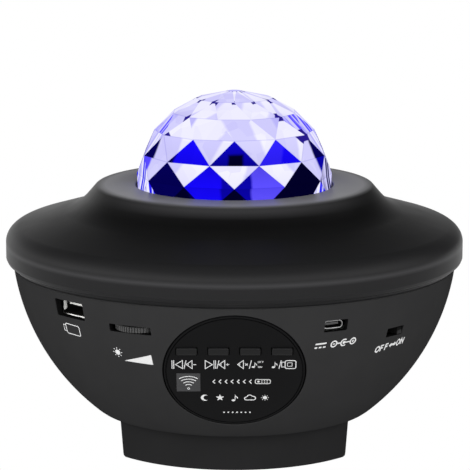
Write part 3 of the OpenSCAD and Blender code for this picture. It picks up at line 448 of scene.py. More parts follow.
outside = cover_path(0)
inside = cover_path(wall)[::-1]
bevel = eased([[brim_r, 74], [brim_r, 71.2], [brim_r - 0.5, 70.1], [82.8, 69.6], [82.5, 69.7],
               [82.45, 69.33], [81.27, seam_z + 0.3], [80.95, seam_z], [78.6, seam_z]],
              [0, 0.7, 0.5, 0.04, 0.04, 0.04, 0.1, 0.1, 0])[6:-6]
hole_r, lip_r, lip_t, lip_z = 36.4, 78.1, 2.0, 65.8
cover = skin("cover", spun(np.concatenate([
    [[hole_r, top_z - wall], [hole_r, top_z - 0.5], [hole_r + 0.15, top_z - 0.2], [hole_r + 0.5, top_z]],
    outside, bevel,
    [[lip_r, seam_z], [lip_r, lip_z], [lip_r - lip_t, lip_z], [lip_r - lip_t, 70.4], [brim_r - wall, 73.6]],
    inside])))


def paler(wire):
    """Painted sheen and highlights that make the cover paler: 1 on the flat ring round the dome, falling
    towards the ring's outer edge; 0.085 at the collar's upper edge in front, falling down its flank; 0.033
    on the rim, and 0.08 more in a painted highlight line where the rim turns upright. Each part is a ramp
    in mm."""
    x, y, up = (part * (1 / mm) for part in wire.node("TexCoord", out=3).axes())
    r = wire.math("SQRT", x * x + y * y)
    ring = ((up - (top_z - 0.7)) * 1.5).clipped() * ((51.5 - r) * 0.19).clipped()
    flank = ((up - 93.2) * 0.385).clipped() * (-0.4 - y * 0.028).clipped()
    rim = ((91.0 - up) * 0.11).clipped()
    rim_highlight = (1 - wire.math("ABSOLUTE", up - 76.2) * 0.77).clipped()
    return rim * 0.033 + ring * 1.25 + flank * 0.085 + rim_highlight * 0.08


# Where the mask rises the cover's black is painted brighter, as sheen and highlights.
cover_black = moulded("satin_black_abs", (0.0024, 0.0024, 0.0025), 0.38, 0.06, mask=paler, times=76)
joined(cover, "case", "cover_black", cover_black, "top_cover")


# ---------------------------------------------------------------- dome
# The dome is one clear acrylic moulding with triangular facets, twelve to a ring, lit from inside by blue
# and white light. That light is painted on the facets as glow: each facet shows its own piece of the lit
# optics, so neighbours differ sharply. Its flange lies under the cover's rim, held up by a retainer.
dome_r, dome_h, dome_wall, sides = 36.0, 34.3, 2.0, 12
rows = np.radians([-8.04, 6.2, 19.7, 35.5, 50.7, 67.0, 86.2])[:, None]
turns = np.radians(-90 + 30 * (np.arange(sides) + 0.5 * (np.arange(len(rows))[:, None] % 2 == 0)))
dome_middle = np.array([0, 0, top_z])


def shade_of(red, green, blue):
    """A display colour of 0 to 255 as the light it stands for: ((c + 0.055) / 1.055) ^ 2.4."""
    c = np.array([red, green, blue]) / 255
    return np.where(c > 0.04, ((c + 0.055) / 1.055) ** 2.4, c / 12.92)


def kept(mesh, name, values, kind="FLOAT_COLOR"):
    """Stores one row of values for each face corner, as a colour or as a UV map."""
    if kind == "UV":
        mesh.uv_layers.new(name=name).data.foreach_set("uv", np.ravel(values))
    else:
        mesh.attributes.new(name, kind, "CORNER").data.foreach_set("color", np.ravel(values))


night, navy, cobalt, royal, iris, peri, lilac, mist, bright = range(9)
tones = np.array([shade_of(*c) for c in [
    (2, 1, 38), (4, 1, 80), (10, 4, 162), (21, 8, 238), (46, 33, 242), (90, 77, 251), (189, 185, 246),
    (211, 208, 249), (240, 239, 255)]])
# Rows of light: tone before a facet's split line and tone past it, the line's turn in degrees, its place
# in mm, how fast the facet brightens upwards per mm, and how high in mm a dark block 5.4 mm wide stands in
# the first tone (0 for none, streaks for many thin ones).
streaks = -9
diamonds = [(cobalt, peri, 94, -3.0, -0.04, 0), (night, night, 90, 0, 0, 0),
            (mist, navy, 90, 0, 0.02, streaks), (bright, royal, 90, 0, 0.02, streaks),
            (navy, night, 118, 9.0, 0.02, 0), (royal, cobalt, 96, 4.4, -0.03, 0)]
low_tips = [(night, navy, 100, 3.5, 0, 0), (night, navy, 60, 3.0, 0, 0), (night, navy, 120, 3.2, 0, 0)]
windows = [(bright, mist, 75, 3.6, 0.01, 0), (bright, mist, 125, 3.6, 0.01, 0),
           (mist, cobalt, 100, 2.4, 0, 0), (bright, cobalt, 90, 0, 0, streaks),
           (peri, mist, 80, -3.2, 0, 0), (mist, bright, 60, -3.4, 0.01, 0)]
peaks = [(night, cobalt, 88, 0.4, 0.10, 1.1), (iris, royal, 70, 1.4, 0.03, 0), (mist, navy, 95, 1.2, 0, 0),
         (lilac, navy, 90, 0, 0, streaks), (navy, mist, 85, -1.4, 0, 0), (navy, royal, 75, -5.6, 0.03, 0)]
between_peaks = [(mist, bright, 100, 2.6, 0.01, 0), (mist, bright, 70, 2.0, 0.01, 0),
                 (lilac, bright, 90, 0, 0, streaks)]
belt = [(bright, mist, 112, -3.0, 0.0, 0), (mist, lilac, 98, 2.6, 0, 0), (mist, peri, 90, 0, 0, streaks),
        (bright, lilac, 90, 0, 0, streaks), (lilac, mist, 85, -2.6, 0, 0), (lilac, bright, 84, -3.0, 0, 0)]
belt_ends = [(mist, bright, 100, 0.2, 0, 0), (bright, bright, 90, 0, 0, 0), (bright, mist, 60, 2.6, 0, 0)]
clouded = [(mist, bright, 70, -1.4, 0.01, 0), (bright, mist, 50, 2.5, 0, 0), (mist, lilac, 105, 3.0, 0, 0),
           (bright, bright, 90, 0, 0, 0), (mist, mist, 90, 0, 0.02, 0)]
groups = [diamonds, low_tips, windows, peaks, between_peaks, belt, belt_ends, clouded]
recipes = np.array(sum(groups, []), float)
first = dict(zip(("diamond", "tip", "window", "peak", "between", "belt", "belt_end", "clouded"),
                 np.cumsum([0] + [len(group) for group in groups])))

# The corners: ring j at r cos(row) and height h sin(row), its lowest one drawn out under the cover's rim.
reach = np.maximum(dome_r * np.cos(rows), (rows < 0) * (dome_r + 0.1))
points = dome_middle + np.stack([reach * np.cos(turns), reach * np.sin(turns),
                                 dome_h * np.sin(rows) + 0 * turns], -1).reshape(-1, 3)
row, k = np.indices((len(rows) - 1, sides)).reshape(2, -1)
odd, after = row % 2, (k + 1) % sides
above = (row + 1) * sides
corner = np.stack([row * sides + k, row * sides + after, above + (after - odd) % sides,
                   above + (after + 1 - odd) % sides], -1)
facets = corner[:, [0, 1, 2, 1, 3, 2]].reshape(-1, 3)
row, upward = np.repeat(row, 2), np.tile([True, False], len(k))
middles = points[facets].mean(1)
bearings = np.degrees(np.arctan2(middles[:, 0], -middles[:, 1]))
chance = np.random.default_rng(11)
# Each facet takes its recipe from its ring and its bearing; at the sides the bearing says little, so those
# facets take one that suits a slanting view, and the upper rings draw theirs by chance.
near_side = np.abs(np.abs((bearings + 180) % 360 - 180) - 90) < 32
nth, nth_between = np.round(bearings / 30), np.round((bearings - 15) / 30)
side_tip, side_peak, side_belt = first["diamond"] + 3, first["between"] + 2, first["belt"] + 2
kind = np.select(
    [(row == 0) & ~upward | (row == 1) & upward, (row == 0) & near_side, row == 0,
     row == 1, (row == 2) & upward, (row == 2) & near_side,
     row == 2, (row == 3) & ~upward, (row == 3) & near_side,
     row == 3],
    [first["diamond"] + nth_between % 6, side_tip, first["tip"] + nth % 3,
     first["window"] + nth % 6, first["peak"] + nth % 6, side_peak,
     first["between"] + nth_between % 2, first["belt"] + nth % 6, side_belt,
     first["belt_end"] + nth_between % 3],
    first["clouded"] + chance.integers(0, len(clouded), len(row))).astype(int)
glow, deep, turn, offset, lift, band = recipes[kind].T
# A facet's own directions: right along the ring, rise up its face, across square to its split line.
out = middles - dome_middle
right = np.cross([0, 0, 1], out)
right /= np.linalg.norm(right, axis=1, keepdims=True)
rise = np.cross(out, right)
rise /= np.linalg.norm(rise, axis=1, keepdims=True)
turn = np.radians(turn)[:, None]
across = right * np.sin(turn) - rise * np.cos(turn)
spread = points[facets] - middles[:, None]
past = (spread * across[:, None]).sum(-1) - offset[:, None]
shade = 1 + lift[:, None] * (spread * rise[:, None]).sum(-1)
# Some corners carry a painted dark reflection: a small dark spot where the facets meet.
ring, at = facets // sides, facets % sides
strength = np.select([ring == 5, (ring == 4) & (at % 3 == 1), (ring == 3) & np.isin(at % 6, (2, 4)),
                      ring == 6],
                     [1.0, 1.08, 1.2, 0.94], 0)
dark_reflection_strength = strength * chance.uniform(0.93, 1.12, ring.shape)
dark_reflection_strength = dark_reflection_strength * (chance.random(ring.shape) < np.where(ring == 6, 1, 0.62))


def coloured(index):
    """Four values a corner: the tone of that index times the corner's shade, and 1."""
    light = np.clip(tones[index.astype(int)][:, None] * shade[..., None], 0, 1)
    return np.concatenate([light, np.ones(light.shape[:2] + (1,))], -1)


# The inner wall is the outer one drawn in by the wall's thickness, turned round, and joined at the rim.
count, base = len(points), np.arange(sides)
cap = 6 * sides + base
around = np.stack([base, base + count, (base + 1) % sides + count, (base + 1) % sides], -1)
inner = dome_middle + (points - dome_middle) * (1 - dome_wall / dome_r)
mesh = bpy.data.meshes.new("crystal")
mesh.from_pydata(np.concatenate([points, inner]) * mm, [],
                 [*facets, *(facets[:, ::-1] + count), cap, cap[::-1] + count, *around])
thirds = np.broadcast_to(np.eye(3), (len(facets), 3, 3))
# High up only the level edges show: there the two slanting edges' values are kept away from 0.
level = np.where(upward, 2, 0)[:, None] == np.arange(3)
shown_edges = thirds + ((row > 2)[:, None] & ~level)[:, None]
edges, dark_reflection_corners = (np.concatenate([v, np.ones((len(facets), 3, 1))], -1)
                for v in (shown_edges, thirds * dark_reflection_strength[:, None]))
height = (spread * rise[:, None]).sum(-1) - band[:, None]
split = np.stack([past, np.where(band[:, None] > 0, height, band[:, None])], -1)


def both_walls(values, other):
    """The facets' values, the same turned round for the inner wall, and one row for each corner of the
    caps and the rim."""
    return np.concatenate([*values, *values[:, ::-1], np.tile(other, (2 * sides + 4 * sides, 1))])


kept(mesh, "glow", both_walls(coloured(glow), [*tones[lilac], 1]))
kept(mesh, "deep", both_walls(coloured(deep), [*tones[royal], 1]))
kept(mesh, "edge", both_walls(edges, [1, 1, 1, 1]))
kept(mesh, "mark", both_walls(dark_reflection_corners, [0, 0, 0, 0]))
kept(mesh, "split", both_walls(split, [-1, 0]), "UV")


def crystal(wire):
    """Painted glow: light = (glow where u < 0, deep past it) with u the distance in mm from the facet's
    split line, from the edge of its band, or noise along the line for streaks; dimmed by painted angular
    reflections of 6 mm, by painted shade along the facet's edges and by painted dark reflections near some
    corners."""
    u, band = wire.node("UVMap", {"uv_map": "split"}).axes()[:2]
    noise = wire.node("TexNoise", {"noise_dimensions": "1D"}, {"W": u, "Scale": 0.42, "Detail": 2.0})
    banded = (wire.math("ABSOLUTE", band) * 1000).clipped()
    block = wire.math("ABSOLUTE", u) - 2.7
    u = banded * (wire.math("MAXIMUM", block, band) - u) + u
    streaky = (streaks + 4 - band).clipped()
    u = streaky * (noise * 10 - 5.2 - u) + u
    glow, deep = (wire.node("Attribute", {"attribute_name": name}) for name in ("glow", "deep"))
    haze = clouds(wire, 0.006, 2.0) - 0.5
    light = ((u + haze * 1.2) * 0.9 + 0.5).clipped().mixed(glow, deep)
    cells = wire.node("TexVoronoi", None, {"Vector": wire.node("TexCoord", out=3), "Scale": 160.0}, out=1)
    light = (cells.axes()[0] * 0.5).mixed(light, light.times((0.80, 0.78, 0.95, 1)))
    a, b, c = wire.node("Attribute", {"attribute_name": "edge"}).axes()
    nearest = wire.math("MINIMUM", wire.math("MINIMUM", a, b), c)
    light = ((1 - nearest * 40).clipped() * 0.6).mixed(light, light.times((0.5, 0.48, 0.8, 1)))
    a, b, c = wire.node("Attribute", {"attribute_name": "mark"}).axes()
    most = wire.math("MAXIMUM", wire.math("MAXIMUM", a, b), c)
    dark = ((most + haze * 0.16 - 0.87) * 30).clipped()
    light = dark.mixed(light, (0.02, 0.01, 0.25, 1))
    return {"Emission Color": light, "Base Color": light.times((0.02, 0.02, 0.03, 1)),
            "Roughness": haze * 0.02 + 0.04}


# The facets glow though the dome is no lamp: emission paints the light of the optics inside.
lit_crystal = finish("lit_crystal", crystal, Emission_Strength=1.0, Specular_IOR_Level=0.0)
joined(shown("crystal_dome_facets", mesh, 4), "case", "crystal", lit_crystal, "crystal_dome")


def clear(name, tone, rough, ripple=0.0, size=0.004):
    """Clear plastic: light passes through; colour = tone with a faint haze, height = waves of that size."""
    def paint(wire):
        haze = clouds(wire, size)
        return {"Base Color": haze.mixed(scaled(tone, 0.92), scaled(tone, 1)),
                "Roughness": haze * 0.04 + rough, "Normal": bumped(wire, ripple, 0.0003, haze)}
    return finish(name, paint, Transmission_Weight=1.0, IOR=1.49)


flange_z, flange_t, flange_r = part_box("crystal_dome")[0][2] / mm, 2.4, 39.5
flange_in = dome_r - dome_wall - 0.6
flange = [[flange_in, 0], [flange_r - 0.2, 0], [flange_r, 0.2], [flange_r, flange_t - 0.2],
          [flange_r - 0.2, flange_t], [dome_r - 0.8, flange_t], [flange_in, flange_t - 1]]
clear_acrylic = clear("clear_acrylic", (0.80, 0.82, 0.95), 0.05)
joined(skin("dome_flange", spun(flange, 144) + [0, 0, flange_z]), "case", "crystal", clear_acrylic)


# ---------------------------------------------------------------- key panel
# A round plate of black plastic lies flush in the bowl's slanted seat, a hair narrower than the seat, so a
# fine groove runs round it. It has holes for four small keys and for the remote's window.
panel_black = moulded("panel_black", (0.0032, 0.0032, 0.0034), 0.55, 0.04, 0.05)
key_v, key_pitch = 9.15, 10.9
key_places = [((i - 1.5) * key_pitch, key_v) for i in range(4)]
key_w, key_h, key_proud, key_gap = 7, 3, 0.6, 0.3
groove_r, groove_depth = panel_r - 0.8, 0.5
plate = skin("panel_plate", put(spun([
    [0, -seat_depth], [panel_r, -seat_depth], [panel_r, -0.35], [panel_r - 0.15, -0.05],
    [panel_r - 0.25, 0], [groove_r + 0.23, 0], [groove_r + 0.17, -groove_depth],
    [groove_r - 0.17, -groove_depth], [groove_r - 0.23, 0], [0, 0]], 192), panel_at))
holes = [bar("key_hole", oblong(key_w + 2 * key_gap, key_h + 2 * key_gap, 0.5, p), -5, 5, panel_at)
         for p in key_places]
carved(plate, holes + [bar("ir_hole", oblong(8.4, 8.4, 0.3, (-15.85, -5)), -5, 5, panel_at)])
joined(plate, "case", "panel_black", panel_black, "control_panel")

# The keys are hard black caps with crowned faces and rounded edges, a little proud of the plate. A cap's
# grid goes from the middle of its back over rings (inset, height) to the middle of its face.
key_black = moulded("key_black", (0.0043, 0.0043, 0.0045), 0.42, 0.12, 0.04)
key_back = -2.4
cap_rings = [(0, key_back), (0, 0.2), (0.06, 0.42), (0.2, 0.53), (0.45, 0.58), (0.9, key_proud)]
for name, middle in zip(("previous", "play", "mute", "source"), key_places):
    rings = [lifted(oblong(key_w - 2 * o, key_h - 2 * o, max(0.5 - o, 0.1), middle, 7), z)
             for o, z in cap_rings]
    back, face = (np.tile([*middle, z], (len(rings[0]), 1)) for z in (key_back, key_proud))
    cap = skin(f"key_{name}_cap", put(np.stack([back, *rings, face], 1), panel_at), along=False)
    joined(cap, f"{name}_key", "key_black", key_black, f"key_{name}")

# The window is a square of smoky plastic that lets the remote's infrared light in.
smoky = moulded("smoky_window", (0.028, 0.028, 0.029), 0.35, 0.1, 0.03, 0.2)
dress(smoky, "ir_window")


# ---------------------------------------------------------------- panel prints
# White ink, pad-printed under the keys and on the window: what each key does, and plain pictograms below.
def between(left, right, closed=False):
    """The strip of faces from one line of points to another beside it."""
    k = np.arange(len(left) if closed else len(left) - 1)
    q = (k + 1) % len(left)
    return np.stack([left, right], 1).reshape(-1, 2), np.stack([2 * k + 1, 2 * q + 1, 2 * q, 2 * k], -1)


def stroke(path, width, closed=False):
    """A line of that width along the path: each point p gives p + m w / 2 and p - m w / 2, with m the mitre
    (n1 + n2) / (1 + n1 . n2) of the normals before and after it. Long sides are cut every 0.8 mm."""
    p = np.asarray(path, float)
    to = np.roll(p, -1, 0) if closed else p[1:]
    cuts = [np.linspace(a, b, int(np.hypot(*(b - a)) / 0.8) + 1, endpoint=False) for a, b in zip(p, to)]
    p = np.concatenate(cuts if closed else cuts + [p[-1:]])
    d = (np.roll(p, -1, 0) - p) if closed else np.diff(p, axis=0)
    n = np.stack([-d[:, 1], d[:, 0]], -1) / np.linalg.norm(d, axis=1, keepdims=True)
    before = np.roll(n, 1, 0) if closed else np.concatenate([n[:1], n])
    after = n if closed else np.concatenate([n, n[-1:]])
    mitre = (before + after) / np.maximum(1 + (before * after).sum(1, keepdims=True), 0.4)
    return between(p + mitre * width / 2, p - mitre * width / 2, closed)


def filled(outline):
    """A flat face inside the outline."""
    return np.asarray(outline, float), np.arange(len(outline))[None]


def moved(shapes, at=(0, 0), size=1.0, turn=0.0, lean=0.0):
    """The shapes leaned (x + lean y), scaled, turned by an angle in degrees and moved."""
    c, s = np.cos(np.radians(turn)), np.sin(np.radians(turn))
    matrix = size * np.array([[c, -s], [s, c]]) @ np.array([[1, lean], [0, 1]])
    return [(p @ matrix.T + at, f) for p, f in shapes]


def thick(piece, depth):
    """The mesh of the piece's faces given that depth in mm, half to each side."""
    walls = piece.modifiers.new("thickness", "SOLIDIFY")
    walls.thickness, walls.offset = depth * mm, 0
    mesh = finished(piece)
    bpy.data.objects.remove(piece)
    return mesh


def printed(name, shapes, place, height=lambda u, v: 0 * u):
    """Ink that stands 0.04 mm proud: every shape gets a thickness of 0.06 mm, then its points (u, v, w) go
    to (u, v, height(u, v) + w + 0.01) on the place."""
    starts = np.cumsum([0] + [len(p) for p, _ in shapes])
    faces = [list(face + start) for (_, group), start in zip(shapes, starts) for face in group]
    mesh = bpy.data.meshes.new(name)
    mesh.from_pydata(lifted(np.concatenate([p for p, _ in shapes]), 0) * mm, [], faces)
    piece = bpy.data.objects.new(name, mesh)
    bpy.context.scene.collection.objects.link(piece)
    mesh = thick(piece, 0.06)
    corners = np.empty(len(mesh.vertices) * 3)
    mesh.vertices.foreach_get("co", corners)
    u, v, w = corners.reshape(-1, 3).T / mm
    mesh.vertices.foreach_set("co", (put(np.c_[u, v, height(u, v) + w + 0.01], place) * mm).ravel())
    joined(shown(name, mesh), "case", "white_plastic", ink)


def worn_ink(wire):
    """Ink: colour = off-white with faint thin spots of 0.5 mm, roughness = 0.5 + 0.1 n."""
    thin = clouds(wire, 0.0005, 3.0)
    return {"Base Color": thin.mixed((0.36, 0.36, 0.36, 1), (0.48, 0.48, 0.48, 1)),
            "Roughness": thin * 0.1 + 0.5}


ink = finish("white_ink", worn_ink, Specular_IOR_Level=0.1)


def disc(r, middle=(0, 0), n=24):
    """A full circle."""
    return filled(arc(middle, (r, r), 0, 360 - 360 / n, n))


def loop(r, width, middle=(0, 0), n=32):
    """A line round a circle."""
    return stroke(arc(middle, (r, r), 0, 360 - 360 / n, n), width, True)


# The signs under the keys are 3.8 mm high and share one thickness of line.
half_high, line_w = 1.85, 0.28


def upright(x):
    """A bar as high as the signs, in a slightly thinner line."""
    return stroke([(x, -half_high - 0.05), (x, half_high + 0.05)], 0.26)


def triangle(tip, back):
    """A triangle's outline that points from its back to its tip."""
    return stroke([(tip, 0), (back, half_high), (back, -half_high)], line_w, True)


def speaker(x):
    """A loudspeaker sign about 2 mm wide from x on: a cone's outline and the line of its back."""
    return [triangle(x, x + 2), stroke([(x + 0.72, -0.9), (x + 0.72, 0.9)], 0.2)]


def slash(x):
    """The leaning line between two signs."""
    return [stroke([(x, -half_high - 0.05), (x + 0.75, half_high + 0.05)], 0.26)]


def cross(x, r, turn):
    """Two lines square to each other through x, turned by an angle in degrees."""
    c, s = r * np.cos(np.radians(turn)), r * np.sin(np.radians(turn))
    return [stroke([(x - c, -s), (x + c, s)], line_w), stroke([(x + s, -c), (x - s, c)], line_w)]


def note(size=1.0, at=(0, 0)):
    """A quaver: a leaning oval head, a stem and a curved flag."""
    head = arc((0, 0), (0.75, 0.52), 0, 345, 24)
    flag = [(0.66, 2.9), (0.8, 2.2), (1.5, 1.7), (1.65, 1.0)]
    return moved([filled(head), stroke([(0.66, 0.1), (0.66, 3.0)], line_w), stroke(flag, 0.36)], at, size)


def stick(x, w, h):
    """A memory stick's outline, w long and h wide: a rounded body with a plug at its left end."""
    body = oblong(w, h, h * 0.22, (x + w / 2, 0), 7)
    plug = [(x, h * 0.3), (x - h / 3, h * 0.3), (x - h / 3, -h * 0.3), (x, -h * 0.3)]
    return [stroke(body, 0.32, True), stroke(plug, 0.26)]


letters = {
    "O": [(0.42, 0.0), (0.78, 0.28), (0.78, 0.72), (0.42, 1.0), (0.06, 0.72), (0.06, 0.28)],
    "F": [(0.1, 0), (0.1, 0.93), (0.62, 0.93)],
    "N": [(0.08, 0), (0.08, 1.0), (0.72, 0.0), (0.72, 1.0)],
}


def word(text, height, width=0.17):
    """Plain capitals one after another, 0.98 of their height apart, drawn with strokes."""
    shapes = []
    for n, letter in enumerate(text):
        path = eased(letters["O"], [0.22] * 6, 4) if letter == "O" else letters[letter]
        drawn = [stroke(path, width, letter == "O")]
        if letter == "F":
            drawn.append(stroke([(0.1, 0.5), (0.55, 0.5)], width))
        shapes += moved(drawn, (n * 0.98 * height, 0), height)
    return shapes


previous = [upright(-21.0), upright(-20.4), triangle(-19.8, -17.4), *slash(-16.9), *speaker(-16.1),
            stroke([(-13.7, 0), (-12.7, 0)], line_w)]
play = [stroke([(-9.6, -half_high), (-9.6, half_high), (-7.15, 0)], line_w, True), upright(-6.6),
        upright(-6.05), *slash(-5.6), *speaker(-4.9), *cross(-1.95, 0.5, 0)]
mute = [*speaker(1.5), *cross(4.55, 0.6, 45), *slash(5.5), *note(0.72, (6.9, -1.1)),
        *moved(word("OFF", 0.78), (8.4, 0.75)), *moved(word("ON", 0.78), (8.5, -1.5))]
source = [*note(0.78, (13.8, -1.2)), *slash(15.7), *stick(17.8, 3.7, 3.6),
          stroke(oblong(1.6, 1.6, 0.3, (19.4, 0)), 0.2, True)]
row_v = 3.15
printed("print_key_row", moved(previous + play + mute + source, (-0.4, row_v)), panel_at)

# The square window carries four waves over a small ring: the sign for the remote's signal.
waves = [stroke(arc((0, 0), (r, r), 54, 126, 24), 0.3) for r in (1.85, 3.05, 4.3, 5.5)]
printed("print_window_waves", moved(waves + [loop(0.36, 0.22)], (-15.8, -7.75)), panel_at)

# Beside it are a remote control and chevrons that point to the window, then a row of what the lamp does
# (night, stars, music, nebula, light) and a row of dots.
remote = [stroke(oblong(5.2, 1.9, 0.7, (9.8, 0)), 0.26, True), disc(0.42, (8.3, 0)),
          *[disc(0.2, (x, y)) for x in (9.5, 10.4, 11.3) for y in (-0.36, 0.36)]]
chevrons = [stroke([(x + 0.7, 0.85), (x, 0), (x + 0.7, -0.85)], 0.34) for x in np.arange(-7.4, 5.5, 2.1)]
remote_v, signs_v, dots_v = -4.6, -12.0, -18.8
printed("print_remote_row", moved(remote + chevrons, (0, remote_v)), panel_at)


def star(r, n=5):
    """A star: points on radius r and 0.42 r in turn."""
    t = np.radians(90 + 180 / n * np.arange(2 * n))
    reach = r * np.where(np.arange(2 * n) % 2, 0.42, 1)
    return np.stack([reach * np.cos(t), reach * np.sin(t)], -1)


def moon(r):
    """A crescent: the disc's rim the long way round, back along a smaller circle."""
    return np.concatenate([arc((0, 0), (r, r), 50, 310, 26),
                           arc((0.42 * r, 0), (0.79 * r, 0.79 * r), 285, 75, 18)])


def cloud(r):
    """A cloud's outline: a flat foot and three round humps."""
    return np.concatenate([arc((-0.8 * r, -0.25 * r), (0.45 * r, 0.45 * r), 270, 100, 10),
                           arc((-0.05 * r, 0.2 * r), (0.62 * r, 0.62 * r), 165, 25, 12),
                           arc((0.75 * r, -0.15 * r), (0.55 * r, 0.55 * r), 80, -90, 12)])


def sun(r, rays=8):
    """A disc and short strokes round it."""
    t = np.radians(360 / rays * np.arange(rays))
    way = np.stack([np.cos(t), np.sin(t)], -1)
    return [disc(r)] + [stroke([w * r * 1.35, w * r * 1.85], 0.26 * r) for w in way]


signs = ([filled(moon(1.4))], [filled(star(1.5))], note(0.85, (-0.5, -1.2)),
         [stroke(cloud(1.5), 0.32, True)], sun(0.72))
for n, sign in enumerate(signs):
    printed(f"print_sign_{n + 1}", moved(sign, (-10.2 + 5.2 * n, signs_v)), panel_at)
printed("print_dots", [disc(0.3, (x, dots_v), 12) for x in np.arange(-3.6, 5.5, 1.5)], panel_at)


# ---------------------------------------------------------------- memory stick port
# The socket for a memory stick sits behind its window: a folded steel shell, a white nylon tongue under
# its top with four gilt contacts, and a small board screwed to two posts inside the bowl.
black_nylon = moulded("black_nylon", (0.008, 0.008, 0.008), 0.5, 0.15, 0.05)
white_nylon = moulded("white_nylon", (0.60, 0.60, 0.58), 0.42, 0.3, 0.03, 0.03)
gilt = metal("gilt_contact", (0.86, 0.62, 0.28), 0.2)


def shell_with_painted_shade(name, tone, place, node, lip, slant=(0, 0)):
    """A folded shell in its own tone at the front edge, duller inside and painted dark there as shade:
    colour = tone where d > 0 and tone / 25 elsewhere, with d = z - (front - lip) + slant . (x, y) in the
    port's own directions."""
    x, y, z, middle = np.array(place)[:3].T
    corners = np.empty(len(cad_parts[node].data.vertices) * 3)
    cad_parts[node].data.vertices.foreach_get("co", corners)
    front = (corners.reshape(-1, 3) @ z).max()
    way = z + slant[0] * x + slant[1] * y
    front += middle @ (way - z) * mm

    def paint(wire):
        along = wire.node("VectorMath", {"operation": "DOT_PRODUCT"},
                          {0: wire.node("TexCoord", out=3), 1: way}, out=1)
        edge = ((along - (front - lip * mm)) * 8000).clipped()
        return {"Base Color": edge.mixed(scaled(tone, 1 / 25), scaled(tone, 1)),
                "Roughness": edge * -0.15 + 0.5 + (clouds(wire, 0.001) - 0.5) * 0.06,
                "Metallic": 1 - edge * 0.75}
    return finish(name, paint)


# The socket's shell is painted dark inside, as shade.
dress(shell_with_painted_shade("socket_steel", (0.80, 0.79, 0.77), usb_at, "usb_shell", 0.2, (0.04, 0)), "usb_shell")
guide = bar("usb_guide", [(-6.12, -1.2), (-5.95, -1.2), (-5.95, 2.2), (-6.12, 2.2)], 76.1, 77.3, usb_at)
joined(guide, "case", "white_plastic", white_nylon)
# The tongue is white above, with a black bed for four gilt contacts under it, and fills the shell behind.
tongue_back, tongue_front, tongue_w = 63.36, 74.96, 11.5
tongue_root = 67.2
bed = bar("usb_contact_bed", oblong(tongue_w - 0.3, 0.4, 0.1, (0.2, 0.35)), tongue_root,
          tongue_front - 0.25, usb_at)
joined(bed, "case", "insulator_black", black_nylon)
tongue = bar("usb_tongue_front", oblong(tongue_w, 1.7, 0.12, (0.2, 1.35)), tongue_root,
             tongue_front, usb_at)
joined(tongue, "case", "white_plastic", white_nylon, "usb_tongue")
block = bar("usb_tongue_block", oblong(12.2, 4.6, 0.2), tongue_back, tongue_root + 0.3, usb_at)
joined(block, "case", "insulator_black", black_nylon)
for n, x in enumerate((-3.5, -1.0, 1.0, 3.5)):
    strip = bar(f"usb_contact_{n + 1}", oblong(1.0, 0.12, 0.03, (x, 0.12)), tongue_root + 0.2,
                tongue_front - 0.6, usb_at)
    joined(strip, "case", "brass", gilt)


def on_bowl(name, shapes, bearing, height):
    """Ink on the bowl's face round a bearing and height: each point stands in front of the port's place by
    sqrt(R^2 - u^2 - (v + height - ball_z)^2)."""
    printed(name, shapes, at_port(bearing, height),
            lambda u, v: np.sqrt(ball_r**2 - u**2 - (v + height - ball_z) ** 2))


on_bowl("print_stick", moved(stick(0, 7.1, 3.7), (-3.0, 0), turn=-2), -46.4, 54.7)


# ---------------------------------------------------------------- dimmer
# The lamp's brightness wheel is a ribbed black disc on a small potentiometer's shaft. Its edge shows in a
# slot, and a sun and a rising wedge are printed under it.
ribbed_black = moulded("ribbed_black", (0.022, 0.022, 0.022), 0.35, 0.4, 0.04)
wheel_r, wheel_half, hub_r, dish_r, axis_out, rib_count, rib_depth = 9, 1, 1.5, 6.6, 71, 56, 0.5
t = np.linspace(0, 2 * np.pi, rib_count * 6, endpoint=False)[:, None]
tip = wheel_r - rib_depth * (np.arange(len(t)) % 6 > 3)[:, None]
# Round the wheel's section: the hub, the lower face, the rim between its two chamfers, the upper face and a
# shallow dish in it.
r = np.concatenate([0 * tip + hub_r, tip - 0.2, tip, tip, tip - 0.2,
                    0 * tip + dish_r, 0 * tip + dish_r, 0 * tip + hub_r], 1)
h = 0 * r + wheel_half * np.array([-1, -1, -0.8, 0.8, 1, 1, 0.6, 0.6])
ribs = put(np.stack([r * np.cos(t), h, axis_out + r * np.sin(t)], -1), dimmer_at)
joined(skin("dimmer_wheel_rim", ribs), "dimmer", "key_black", ribbed_black, "dimmer_wheel")
dress(metal("shaft_steel", (0.62, 0.61, 0.6), 0.3), "dimmer_shaft")
on_bowl("print_sun", sun(1.0), -31.8, 49.1)
t, tip = np.linspace(0.01, 1, 24)[:, None], (-5.5, -1.5)
on_bowl("print_wedge", [between(tip + t * (11.1, 3.4), tip + t * (11.1, -0.4))], -26.1, 47.6)


# ---------------------------------------------------------------- power inlet
# The inlet takes a small five-volt plug: an oval steel shell round a black tongue. Under it the signs for
# direct current and for a plug with its middle positive are printed.
# The inlet's shell is painted dark inside, as shade.
dress(shell_with_painted_shade("inlet_steel", (0.24, 0.24, 0.24), inlet_at, "inlet_shell", 0.15), "inlet_shell")
dress(moulded("grey_nylon", (0.06, 0.06, 0.06), 0.45, 0.2, 0.04), "inlet_tongue")
direct = [stroke([(-7.4, 0.7), (-3.6, 0.7)], 0.5)]
direct += [stroke([(x, -0.6), (x + 0.9, -0.6)], 0.5) for x in (-7.4, -5.95, -4.5)]
polarity = [loop(1.0, 0.42, (-0.7, 0)), stroke([(-1.1, 0), (-0.3, 0)], 0.36),
            stroke([(0.3, 0), (1.9, 0)], 0.4), stroke(arc((3.0, 0), (1.1, 1.1), 50, 310, 24), 0.42),
            disc(0.5, (3.0, 0)), stroke([(3.4, 0), (5.4, 0)], 0.4), loop(1.0, 0.42, (6.4, 0)),
            *moved(cross(0, 0.45, 0), (6.4, 0))]
on_bowl("print_direct_current", moved(direct + polarity, size=1.06, turn=2, lean=0.15), 26.55, 53.2)


